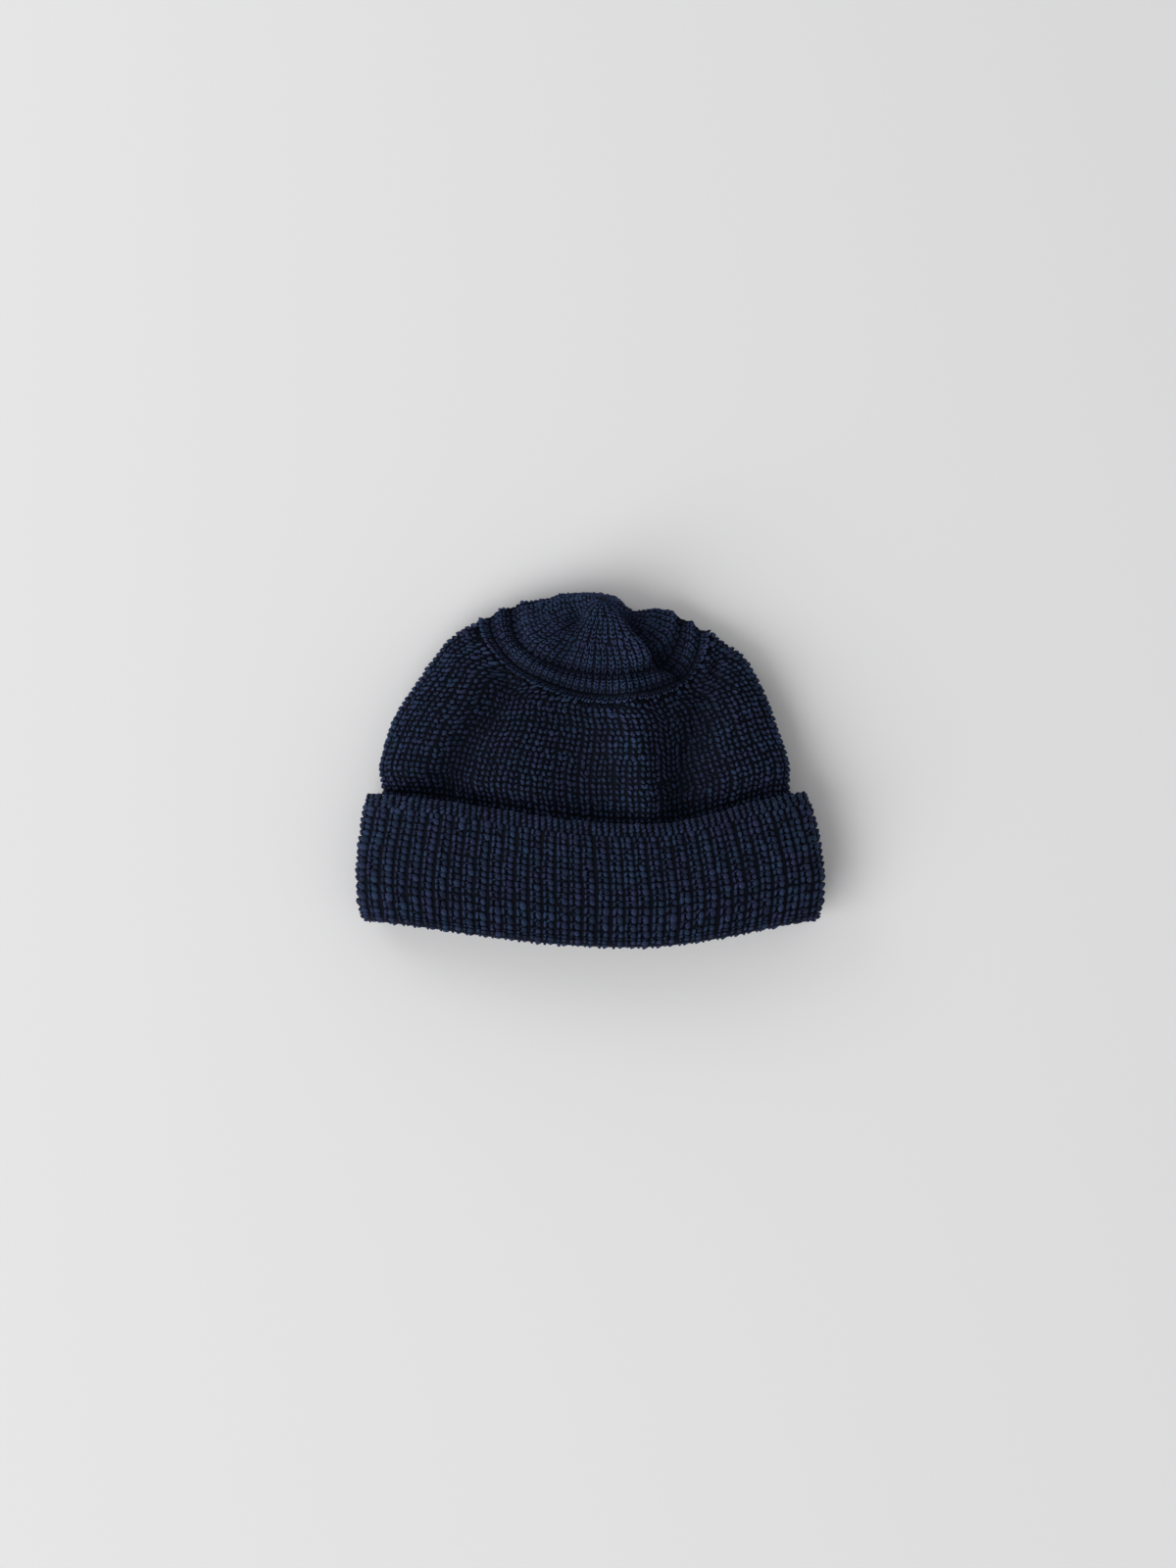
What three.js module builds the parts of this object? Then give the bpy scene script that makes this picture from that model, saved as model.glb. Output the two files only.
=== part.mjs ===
// A knitted fisherman beanie with a turned-up cuff, lying on its back as it is laid flat.
// Millimetres. +Z is up from the surface it lies on, +Y points from the mouth to the crown,
// and the origin is under the middle of the hat's box, on that surface.
import * as THREE from "three";

// Overall sizes
const FLAT_WIDTH = 220; // widest place of the turned-up cuff
const FLAT_LENGTH = 168; // lowest point of the cuff to the top edge
const LOFT = 44; // height of the lying hat, at the lip of the cuff
const CUFF_HEIGHT = 59.6; // bottom of the fold to the lip, at the sides

// Thicknesses of the knit, and the room between its layers
const KNIT_WALL = 3.6;
const CROWN_WALL = 3;
const CUFF_CLEARANCE = 0.5;
const LIP_LIFT = 3.4; // how far the cuff's lip stands off the side wall
const TUCK_GAP = 0.35; // between the cuff's tucked end and the side wall's
const GROOVE_GAP = 0.7; // between the pieces that meet in a groove
const SETTLE = 0.7; // how far the back is pressed flat by the surface under it
const CUFF_STEP_LENGTH = 16; // the side wall comes down behind the cuff over this length

// The tuck of the cuff inside the mouth, the ribs, the grooves and the welt
const TUCK_DEPTH = 11;
const RIB_COUNT = 72;
const RIB_RELIEF = 0.5; // a rib's crest above, and its furrow below, the middle of the knit
const GROOVE_SHARE = 0.6; // how deep the grooves are in the crown's wall
const WELT_RELIEF = 0.9;
const RIM_RELIEF = 0.7;

// Places along the knit, as shares of the flat length, from the fold at the mouth
const OUTER_GROOVE = 0.951;
const INNER_GROOVE = 1.02;
const CROWN_EYE = 1.28;

const WALE_COUNT = 2 * RIB_COUNT; // columns of points round the ribbed pieces
const OUTLINE_STEPS = 720;
const CLIMB_STEP = 0.004;
const FOLDS_START = 0.7; // the folds fade out under the cuff, from its lip down to this share of it
const LIFT_START = 0.25; // and the cuff lifts off from this share of its height up to its lip
const EYE_DEPTH = 0.4; // where the hollow ends, from the crown's last inner ring to its eye

// The knit that faces down lies flat: its folds and its lift grow between these two tilts, each
// the Z of the way that the knit faces.
const FOLDS_TILT = { low: -0.9, high: -0.3 };
const LIFT_TILT = { low: -0.8, high: 0.2 };
const CUFF_LAYER = KNIT_WALL + CUFF_CLEARANCE;
const FOLD_RADIUS = KNIT_WALL + CUFF_CLEARANCE / 2;
const GROOVE_DEPTH = GROOVE_SHARE * CROWN_WALL;
const LIP = (CUFF_HEIGHT - FOLD_RADIUS) / FLAT_LENGTH;
const TUCK = TUCK_DEPTH / FLAT_LENGTH;
const CUFF_STEP = CUFF_STEP_LENGTH / FLAT_LENGTH;
const HALF_GAP = GROOVE_GAP / 2 / FLAT_LENGTH;

const WALL_START = TUCK + TUCK_GAP / FLAT_LENGTH;

// The places of the rings that the side wall and the cuff around it share
const COVERED = [0, 0.2, 0.43, 0.7, 0.98].map((share) => WALL_START + share * (LIP - WALL_START));

// The rings of each piece, as shares of its length along the knit. Where a ring has more than
// its place, a row also holds shares of the knit's thickness, of the ribs, welt or rim that stand
// up from it, or of the groove's depth.
const FOLD_TURNS = [0.3, 0.55, 0.78]; // of half a turn, round the fold at the mouth
const CUFF_RINGS = tableOf(["place", "thickness", "ribs"], [
  [0.03, 1, 1],
  [0.3, 1, 1],
  [0.62, 1, 1],
  [0.93, 1, 1],
  [0.99, 0.78, 0.5],
  [1, 0.4, 0.5],
]);
const WALL_RINGS = tableOf(["place", "ribs"], [
  [0.06, 1],
  [0.18, 1],
  [0.31, 1],
  [0.44, 1],
  [0.57, 1],
  [0.7, 0.9],
  [0.82, 0.7],
  [0.92, 0.55],
]);
const WALL_LINING = [1, 0.9, 0.75, 0.55, 0.35, 0.2, 0];
const WELT_RINGS = tableOf(["place", "swell", "groove"], [
  [0, 0, 1],
  [0.14, 0.1, 0],
  [0.38, 0.9, 0],
  [0.66, 0.9, 0],
  [0.88, 0.1, 0],
  [1, 0, 1],
]);
const WELT_LINING = [1, 0.5, 0];
const CROWN_RINGS = tableOf(["place", "rim", "groove"], [
  [0, 0, 1],
  [0.03, 0, 0],
  [0.1, 1, 0],
  [0.22, 0.33, 0],
  [0.36, 0, 0],
  [0.5, 0, 0],
  [0.64, 0, 0],
  [0.77, 0, 0],
  [0.89, 0, 0],
  [1, 0, 0],
]);
const CROWN_LINING = [0.55, 0.35, 0.15];

// One row for each ring round the hat. climb is its place along the knit at the sides. X columns
// are shares of half the flat width, Y columns of the flat length, Z columns of the loft.
// left and right are the side folds, crest is where the ring sags most, front and back are its
// sagging middles, and the last three say how square the ring is and how narrow its sag.
const RING_COLUMNS = [
  "climb", "leftX", "leftY", "rightX", "rightY", "sideZ", "crestX", "frontY",
  "topZ", "backY", "baseZ", "squareTop", "squareBack", "sagPower",
];
const RINGS = tableOf(RING_COLUMNS, [
  [0.000, -0.985, 0.095, 0.977, 0.095, 0.455, 0.173, 0.024, 0.968, 0.065, 0, 2.4, 5, 1.3],
  [0.089, -1.002, 0.185, 0.998, 0.185, 0.455, 0.173, 0.116, 0.959, 0.161, 0, 2.4, 5, 1.4],
  [0.167, -0.991, 0.262, 0.978, 0.262, 0.443, 0.164, 0.190, 0.943, 0.244, 0, 2.4, 5, 1.5],
  [0.244, -0.962, 0.339, 0.942, 0.339, 0.420, 0.185, 0.261, 0.927, 0.324, 0, 2.4, 5, 1.6],
  [0.332, -0.930, 0.425, 0.892, 0.425, 0.386, 0.230, 0.345, 0.911, 0.411, 0, 2.4, 5, 1.7],
  [0.372, -0.922, 0.467, 0.872, 0.467, 0.375, 0.190, 0.376, 0.884, 0.452, 0, 2.4, 5, 1.7],
  [0.460, -0.887, 0.554, 0.831, 0.554, 0.352, 0.135, 0.424, 0.855, 0.524, 0, 2.4, 5, 1.6],
  [0.529, -0.857, 0.619, 0.795, 0.619, 0.341, 0.109, 0.458, 0.864, 0.577, 0, 2.4, 5, 1.4],
  [0.601, -0.804, 0.685, 0.760, 0.685, 0.341, 0.100, 0.509, 0.864, 0.631, 0, 2.4, 5, 1.1],
  [0.675, -0.737, 0.750, 0.717, 0.750, 0.330, 0.091, 0.560, 0.855, 0.685, 0, 2.4, 4.5, 0.85],
  [0.756, -0.665, 0.818, 0.656, 0.818, 0.318, 0.091, 0.616, 0.836, 0.738, 0, 2.4, 4, 0.68],
  [0.818, -0.610, 0.863, 0.573, 0.858, 0.318, 0.091, 0.659, 0.818, 0.774, 0, 2.4, 4, 0.57],
  [0.951, -0.437, 0.930, 0.470, 0.896, 0.318, 0.091, 0.705, 0.786, 0.810, 0, 2.4, 3.5, 0.45],
  [0.985, -0.386, 0.946, 0.430, 0.912, 0.318, 0.070, 0.733, 0.777, 0.827, 0, 2.4, 3.2, 0.36],
  [1.020, -0.340, 0.959, 0.390, 0.929, 0.318, 0.045, 0.763, 0.768, 0.845, 0, 2.4, 3, 0.30],
  [1.050, -0.285, 0.967, 0.345, 0.944, 0.330, 0.035, 0.793, 0.784, 0.875, 0, 2.4, 2.8, 0.33],
  [1.100, -0.209, 0.975, 0.273, 0.956, 0.352, 0.023, 0.838, 0.791, 0.923, 0, 2.4, 2.5, 0.45],
  [1.155, -0.125, 0.981, 0.200, 0.962, 0.398, 0.028, 0.882, 0.755, 0.964, 0.06, 2.3, 2.3, 0.6],
  [1.210, -0.048, 0.980, 0.140, 0.966, 0.455, 0.038, 0.915, 0.693, 0.985, 0.2, 2.2, 2.1, 0.7],
  [1.250, 0.002, 0.970, 0.084, 0.960, 0.511, 0.042, 0.936, 0.627, 0.978, 0.39, 2, 2, 0.7],
  [1.280, 0.024, 0.957, 0.056, 0.954, 0.568, 0.040, 0.945, 0.586, 0.962, 0.55, 2, 2, 0.7],
]);

// One row for each soft fold or dent, from its start to its end as seen from above. X and the
// widths to its left and right are shares of half the flat width, Y of the flat length, and
// depth of the loft: a hollow is below zero, a ridge above.
const FOLD_COLUMNS = ["startX", "startY", "endX", "endY", "leftWidth", "rightWidth", "depth"];
const FOLDS = tableOf(FOLD_COLUMNS, [
  [0.500, 0.745, 0.365, 0.365, 0.050, 0.125, -0.110], // pleat right of the middle, its hollow
  [0.190, 0.670, 0.250, 0.385, 0.130, 0.060, 0.060], // and its ridge
  [-0.340, 0.730, -0.630, 0.470, 0.110, 0.120, -0.060], // dent on the left
  [0.190, 0.920, 0.330, 0.808, 0.040, 0.085, -0.110], // hollow beside the crown's middle
  [0.050, 0.935, 0.200, 0.835, 0.080, 0.040, 0.050], // tongue in front of the crown's eye
  [-0.060, 0.940, -0.230, 0.930, 0.025, 0.025, -0.040], // gathers left of the eye
  [-0.050, 0.925, -0.220, 0.870, 0.025, 0.025, -0.045],
  [-0.030, 0.905, -0.110, 0.820, 0.022, 0.022, -0.035],
  [-0.110, 0.990, 0.090, 0.985, 0.050, 0.050, 0.035], // small roll behind the eye
  [0.140, 0.990, 0.190, 0.970, 0.025, 0.035, -0.030], // and the notch where the roll ends
]);

const NAVY_RIB = new THREE.MeshStandardMaterial({ color: 0x171c2d, roughness: 0.95, metalness: 0 });
const NAVY_CUFF = new THREE.MeshStandardMaterial({ color: 0x191f31, roughness: 0.95, metalness: 0 });
const NAVY_CROWN = new THREE.MeshStandardMaterial({ color: 0x1c2236, roughness: 0.9, metalness: 0 });
const NAVY_WELT = new THREE.MeshStandardMaterial({ color: 0x1a2033, roughness: 0.9, metalness: 0 });

function tableOf(columns, rows) {
  return rows.map((row) => Object.fromEntries(columns.map((name, place) => [name, row[place]])));
}

function smoothStep(low, high, value) {
  return THREE.MathUtils.smoothstep(value, low, high);
}

// The slope of a column at a row, limited so that the curve never passes the rows beside it.
function slopeAt(row, name) {
  if (row === 0 || row === RINGS.length - 1) {
    return 0;
  }
  const before = RINGS[row].climb - RINGS[row - 1].climb;
  const after = RINGS[row + 1].climb - RINGS[row].climb;
  const slopeBefore = (RINGS[row][name] - RINGS[row - 1][name]) / before;
  const slopeAfter = (RINGS[row + 1][name] - RINGS[row][name]) / after;
  if (slopeBefore * slopeAfter <= 0) {
    return 0;
  }
  const weightBefore = 2 * after + before;
  const weightAfter = after + 2 * before;
  return (weightBefore + weightAfter) / (weightBefore / slopeBefore + weightAfter / slopeAfter);
}

function ringRowAt(climb) {
  const last = RINGS.length - 2;
  let row = 0;
  while (row < last && climb > RINGS[row + 1].climb) {
    row += 1;
  }
  const span = RINGS[row + 1].climb - RINGS[row].climb;
  const t = (climb - RINGS[row].climb) / span;
  const values = {};
  for (const name of RING_COLUMNS) {
    const start = RINGS[row][name];
    const end = RINGS[row + 1][name];
    const startSlope = slopeAt(row, name) * span;
    const endSlope = slopeAt(row + 1, name) * span;
    const rise = 3 * (end - start) - 2 * startSlope - endSlope;
    const ease = startSlope + endSlope - 2 * (end - start);
    values[name] = start + startSlope * t + rise * t * t + ease * t * t * t;
  }
  return values;
}

// The ring in millimetres. What lies under the cuff gives up the cuff's thickness.
function ringSizesAt(climb) {
  const row = ringRowAt(climb);
  const layer = CUFF_LAYER * (1 - smoothStep(LIP, LIP + CUFF_STEP, climb));
  const leftX = (row.leftX * FLAT_WIDTH) / 2 + layer;
  const rightX = (row.rightX * FLAT_WIDTH) / 2 - layer;
  return {
    middleX: (leftX + rightX) / 2,
    halfX: (rightX - leftX) / 2,
    leftY: (row.leftY - 0.5) * FLAT_LENGTH,
    rightY: (row.rightY - 0.5) * FLAT_LENGTH,
    frontY: (row.frontY - 0.5) * FLAT_LENGTH,
    backY: (row.backY - 0.5) * FLAT_LENGTH,
    sideZ: row.sideZ * LOFT,
    topZ: row.topZ * LOFT - layer,
    baseZ: row.baseZ * LOFT + layer - SETTLE,
    crestX: (row.crestX * FLAT_WIDTH) / 2,
    squareTop: row.squareTop,
    squareBack: row.squareBack,
    sagPower: row.sagPower,
  };
}

function outlinePoint(ring, angle) {
  const side = Math.cos(angle);
  const rise = Math.sin(angle);
  const square = rise >= 0 ? ring.squareTop : ring.squareBack;
  const reach = (Math.abs(side) ** square + Math.abs(rise) ** square) ** (-1 / square);
  const across = side * reach;
  const crest = (ring.crestX - ring.middleX) / ring.halfX;
  const offCrest = across > crest ? (across - crest) / (1 - crest) : (crest - across) / (1 + crest);
  const sag = Math.max(0, Math.cos((offCrest * Math.PI) / 2)) ** ring.sagPower;
  const edgeY = THREE.MathUtils.lerp(ring.leftY, ring.rightY, (across + 1) / 2);
  const crestEdgeY = THREE.MathUtils.lerp(ring.leftY, ring.rightY, (crest + 1) / 2);
  const sagY = (rise >= 0 ? ring.frontY : ring.backY) - crestEdgeY;
  const depth = rise >= 0 ? ring.topZ - ring.sideZ : ring.sideZ - ring.baseZ;
  return new THREE.Vector3(
    ring.middleX + ring.halfX * across,
    edgeY + sagY * sag,
    ring.sideZ + depth * rise * reach,
  );
}

// Points round the ring at equal steps along it, from the middle of the front to the right.
function wrapOutline(climb) {
  const ring = ringSizesAt(climb);
  const outline = [];
  for (let step = 0; step <= OUTLINE_STEPS; step += 1) {
    outline.push(outlinePoint(ring, Math.PI / 2 - (step / OUTLINE_STEPS) * 2 * Math.PI));
  }
  const travelled = [0];
  for (let step = 1; step <= OUTLINE_STEPS; step += 1) {
    travelled.push(travelled[step - 1] + outline[step].distanceTo(outline[step - 1]));
  }
  const points = [];
  let step = 1;
  for (let wale = 0; wale < WALE_COUNT; wale += 1) {
    const target = (wale / WALE_COUNT) * travelled[OUTLINE_STEPS];
    while (travelled[step] < target) {
      step += 1;
    }
    const share = (target - travelled[step - 1]) / (travelled[step] - travelled[step - 1]);
    points.push(outline[step - 1].clone().lerp(outline[step], share));
  }
  return points;
}

function remembered(make) {
  const made = new Map();
  return (climb) => {
    if (!made.has(climb)) {
      made.set(climb, make(climb));
    }
    return made.get(climb);
  };
}

const ringPoints = remembered(wrapOutline);

const ringNormals = remembered((climb) => {
  const below = ringPoints(Math.max(0, climb - CLIMB_STEP));
  const above = ringPoints(Math.min(CROWN_EYE, climb + CLIMB_STEP));
  const points = ringPoints(climb);
  return points.map((point, wale) => {
    const next = points[(wale + 1) % WALE_COUNT];
    const last = points[(wale + WALE_COUNT - 1) % WALE_COUNT];
    const round = next.clone().sub(last);
    const up = above[wale].clone().sub(below[wale]);
    return round.cross(up).normalize();
  });
});

function onPlan(shareX, shareY) {
  return new THREE.Vector2((shareX * FLAT_WIDTH) / 2, (shareY - 0.5) * FLAT_LENGTH);
}

const FOLD_LINES = FOLDS.map((fold) => {
  const start = onPlan(fold.startX, fold.startY);
  return {
    start,
    run: onPlan(fold.endX, fold.endY).sub(start),
    leftWidth: (fold.leftWidth * FLAT_WIDTH) / 2,
    rightWidth: (fold.rightWidth * FLAT_WIDTH) / 2,
    depth: fold.depth * LOFT,
  };
});

// How far the folds raise the knit at a point. The side that lies underneath has none.
function foldHeight(point, normal) {
  let height = 0;
  for (const { start, run, leftWidth, rightWidth, depth } of FOLD_LINES) {
    const from = new THREE.Vector2(point.x, point.y).sub(start);
    const isLeft = Math.sign(run.y) * run.cross(from) > 0;
    const along = THREE.MathUtils.clamp(from.dot(run) / run.lengthSq(), 0, 1);
    const off = from.addScaledVector(run, -along).length();
    height += depth * Math.exp(-((off / (isLeft ? leftWidth : rightWidth)) ** 2));
  }
  return height * smoothStep(FOLDS_TILT.low, FOLDS_TILT.high, normal.z);
}

// How far the cuff stands off the side wall: most at its lip, and nothing underneath.
function lipLift(climb, normal) {
  const upTo = smoothStep(LIFT_START * LIP, LIP, climb);
  return LIP_LIFT * upTo * smoothStep(LIFT_TILT.low, LIFT_TILT.high, normal.z);
}

// A ring of points at a place along the knit and a height off it. Its folds fade under the cuff.
function knitRing({ climb, height, columns = WALE_COUNT, relief = 0, isCuff = false }) {
  const points = ringPoints(climb);
  const normals = ringNormals(climb);
  const every = WALE_COUNT / columns;
  const ring = [];
  for (let wale = 0; wale < WALE_COUNT; wale += every) {
    const normal = normals[wale];
    const rib = relief * Math.cos(wale * Math.PI);
    const fold = foldHeight(points[wale], normal) * smoothStep(FOLDS_START * LIP, LIP, climb);
    const lift = isCuff ? lipLift(climb, normal) : fold;
    const point = points[wale].clone().addScaledVector(normal, height + rib + lift);
    point.z = Math.max(point.z, 0);
    ring.push(point);
  }
  return ring;
}

// A ring of points on the round of the fold at the mouth, at an angle from its inside.
function foldRing(radius, angle, columns, relief = 0) {
  const points = ringPoints(0);
  const above = ringPoints(CLIMB_STEP);
  const normals = ringNormals(0);
  const every = WALE_COUNT / columns;
  const ring = [];
  for (let wale = 0; wale < WALE_COUNT; wale += every) {
    const reach = radius + relief * Math.cos(wale * Math.PI);
    const down = points[wale].clone().sub(above[wale]).normalize();
    const point = points[wale].clone();
    point.addScaledVector(normals[wale], CUFF_CLEARANCE / 2 - reach * Math.cos(angle));
    point.addScaledVector(down, reach * Math.sin(angle));
    point.z = Math.max(point.z, 0);
    ring.push(point);
  }
  return ring;
}

// Joins rings of points, each beside the next, into the triangles of a skin. A ring may have
// twice as many points as the one beside it.
function skinBetween(lower, upper, triangles) {
  const count = Math.max(lower.length, upper.length);
  const lowerStep = count / lower.length;
  const upperStep = count / upper.length;
  const lowerAt = (place) => lower[Math.ceil(place / lowerStep) % lower.length];
  const upperAt = (place) => upper[Math.ceil(place / upperStep) % upper.length];
  for (let place = 0; place < count; place += 1) {
    const corners = [lowerAt(place), lowerAt(place + 1), upperAt(place), upperAt(place + 1)];
    if (corners[0] !== corners[1]) {
      triangles.push([corners[0], corners[1], corners[3]]);
    }
    if (corners[2] !== corners[3]) {
      triangles.push([corners[0], corners[3], corners[2]]);
    }
  }
}

function fanFrom(ring, centre, outward, triangles) {
  for (let place = 0; place < ring.length; place += 1) {
    const next = ring[(place + 1) % ring.length];
    triangles.push(outward ? [ring[place], next, centre] : [next, ring[place], centre]);
  }
}

function geometryOf(triangles) {
  const indexOf = new Map();
  const positions = [];
  const indices = [];
  for (const point of triangles.flat()) {
    if (!indexOf.has(point)) {
      indexOf.set(point, indexOf.size);
      positions.push(point.x, point.y, point.z);
    }
    indices.push(indexOf.get(point));
  }
  const geometry = new THREE.BufferGeometry();
  geometry.setAttribute("position", new THREE.Float32BufferAttribute(positions, 3));
  geometry.setIndex(indices);
  geometry.computeVertexNormals();
  return geometry;
}

function meshOf(name, triangles, material) {
  const mesh = new THREE.Mesh(geometryOf(triangles), material);
  mesh.name = name;
  return mesh;
}

// A skin round a closed profile of rings: out along the outside and back along the inside.
function bandOf(name, rings, material) {
  const triangles = [];
  rings.forEach((ring, place) => skinBetween(ring, rings[(place + 1) % rings.length], triangles));
  return meshOf(name, triangles, material);
}

function centreOf(ring) {
  const centre = new THREE.Vector3();
  ring.forEach((point) => centre.add(point));
  return centre.divideScalar(ring.length);
}

// The turned-up cuff: tucked inside the mouth, round the fold and up the outside to its lip.
function makeCuff() {
  const columns = RIB_COUNT;
  const rings = [
    knitRing({ climb: TUCK, height: -KNIT_WALL, columns }),
    knitRing({ climb: 0, height: -KNIT_WALL, columns }),
  ];
  for (const turn of FOLD_TURNS) {
    rings.push(foldRing(FOLD_RADIUS, turn * Math.PI, WALE_COUNT, RIB_RELIEF));
  }
  for (const { place, thickness, ribs } of CUFF_RINGS) {
    const height = CUFF_CLEARANCE + thickness * KNIT_WALL;
    rings.push(knitRing({ climb: place * LIP, height, relief: ribs * RIB_RELIEF, isCuff: true }));
  }
  for (const climb of [...COVERED].reverse()) {
    rings.push(knitRing({ climb, height: CUFF_CLEARANCE, columns, isCuff: true }));
  }
  rings.push(knitRing({ climb: 0, height: CUFF_CLEARANCE, columns }));
  rings.push(foldRing(CUFF_CLEARANCE / 2, Math.PI / 2, columns));
  rings.push(knitRing({ climb: 0, height: 0, columns }));
  rings.push(knitRing({ climb: TUCK, height: 0, columns }));
  return bandOf("cuff", rings, NAVY_CUFF);
}

// The ribbed side wall, from the tuck inside the cuff up to the outer groove.
function makeSideWall() {
  const end = OUTER_GROOVE - HALF_GAP;
  const rings = COVERED.map((climb) => knitRing({ climb, height: 0, columns: RIB_COUNT }));
  for (const { place, ribs } of WALL_RINGS) {
    const climb = THREE.MathUtils.lerp(LIP, end, place);
    rings.push(knitRing({ climb, height: 0, relief: ribs * RIB_RELIEF }));
  }
  rings.push(knitRing({ climb: end - 2 * CLIMB_STEP, height: -GROOVE_DEPTH / 3 }));
  rings.push(knitRing({ climb: end, height: -GROOVE_DEPTH, columns: RIB_COUNT }));
  for (const place of WALL_LINING) {
    const climb = THREE.MathUtils.lerp(WALL_START, end, place);
    rings.push(knitRing({ climb, height: -KNIT_WALL, columns: RIB_COUNT }));
  }
  return bandOf("side_wall", rings, NAVY_RIB);
}

// The plain-knit welt that stands up between the two grooves.
function makeWelt() {
  const start = OUTER_GROOVE + HALF_GAP;
  const end = INNER_GROOVE - HALF_GAP;
  const ringAt = (place, height) =>
    knitRing({ climb: THREE.MathUtils.lerp(start, end, place), height, columns: RIB_COUNT });
  const outside = WELT_RINGS.map(({ place, swell, groove }) =>
    ringAt(place, swell * WELT_RELIEF - groove * GROOVE_DEPTH));
  const lining = WELT_LINING.map((place) => ringAt(place, -CROWN_WALL));
  return bandOf("welt_ring", [...outside, ...lining], NAVY_WELT);
}

// The plain-knit crown, gathered to its eye.
function makeCrown() {
  const start = INNER_GROOVE + HALF_GAP;
  const ringAt = (place, height, columns) =>
    knitRing({ climb: THREE.MathUtils.lerp(start, CROWN_EYE, place), height, columns });
  const outside = CROWN_RINGS.map(({ place, rim, groove }) =>
    ringAt(place, rim * RIM_RELIEF - groove * GROOVE_DEPTH, RIB_COUNT));
  const lining = CROWN_LINING.map((place) => ringAt(place, -CROWN_WALL, RIB_COUNT / 2));
  const profile = [...lining, ringAt(0, -CROWN_WALL, RIB_COUNT), ...outside];
  const triangles = [];
  for (let place = 1; place < profile.length; place += 1) {
    skinBetween(profile[place - 1], profile[place], triangles);
  }
  const eyeRing = profile[profile.length - 1];
  const eye = centreOf(eyeRing);
  fanFrom(eyeRing, eye, true, triangles);
  const hollowTop = centreOf(profile[0]).lerp(eye, EYE_DEPTH);
  fanFrom(profile[0], hollowTop, false, triangles);
  return meshOf("crown_top", triangles, NAVY_CROWN);
}

const beanie = new THREE.Group();
beanie.add(makeCuff(), makeSideWall(), makeWelt(), makeCrown());

// The origin goes under the middle of the hat's box.
const middle = new THREE.Box3().setFromObject(beanie).getCenter(new THREE.Vector3());
beanie.position.set(-middle.x, -middle.y, 0);

export default beanie;
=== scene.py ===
"""A knitted fisherman beanie laid on a pale studio floor.

Each piece of knit is made flat, at its real size, as rows of yarn legs on a backing. It is then
wrapped on the hat's form, which is worked out from the same sizes and tables as the solids.
"""

import math

import bmesh
import bpy
import numpy as np
from mathutils import Matrix, Vector


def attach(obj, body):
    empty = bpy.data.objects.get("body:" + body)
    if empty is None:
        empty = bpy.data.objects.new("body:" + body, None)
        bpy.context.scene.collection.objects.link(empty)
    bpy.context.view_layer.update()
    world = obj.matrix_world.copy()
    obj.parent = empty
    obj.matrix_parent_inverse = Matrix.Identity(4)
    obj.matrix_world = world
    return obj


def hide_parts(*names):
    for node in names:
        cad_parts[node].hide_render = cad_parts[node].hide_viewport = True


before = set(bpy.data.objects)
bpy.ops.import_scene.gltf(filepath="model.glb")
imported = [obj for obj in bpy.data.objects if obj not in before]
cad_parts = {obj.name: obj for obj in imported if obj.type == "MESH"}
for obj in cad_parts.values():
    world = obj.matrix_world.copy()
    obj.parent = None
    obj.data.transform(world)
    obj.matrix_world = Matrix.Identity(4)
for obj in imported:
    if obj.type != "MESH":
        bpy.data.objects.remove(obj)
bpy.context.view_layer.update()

bl_info = {
    "name": "Fisherman beanie",
    "version": (1, 0, 0),
    "blender": (4, 5, 0),
    "location": "3D View > Sidebar > Beanie",
    "description": "Knits a fisherman beanie stitch by stitch and lays it on a studio floor",
    "category": "Object",
}

# The hat's middle, from the middle line that its tables are measured from
FORM_SHIFT = Vector((0.00024, 0.00043, 0.0))

# Steps of the form's own grid, round the hat and along the knit
WALES = 144
STEPS_PER_WALE = 5
CLIMB_STEP = 0.002
NORMAL_STEPS = 2

# Places along the knit, as shares of the flat length, from the fold at the mouth
OUTER_GROOVE = 0.951
INNER_GROOVE = 1.02
CROWN_EYE = 1.28

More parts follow.
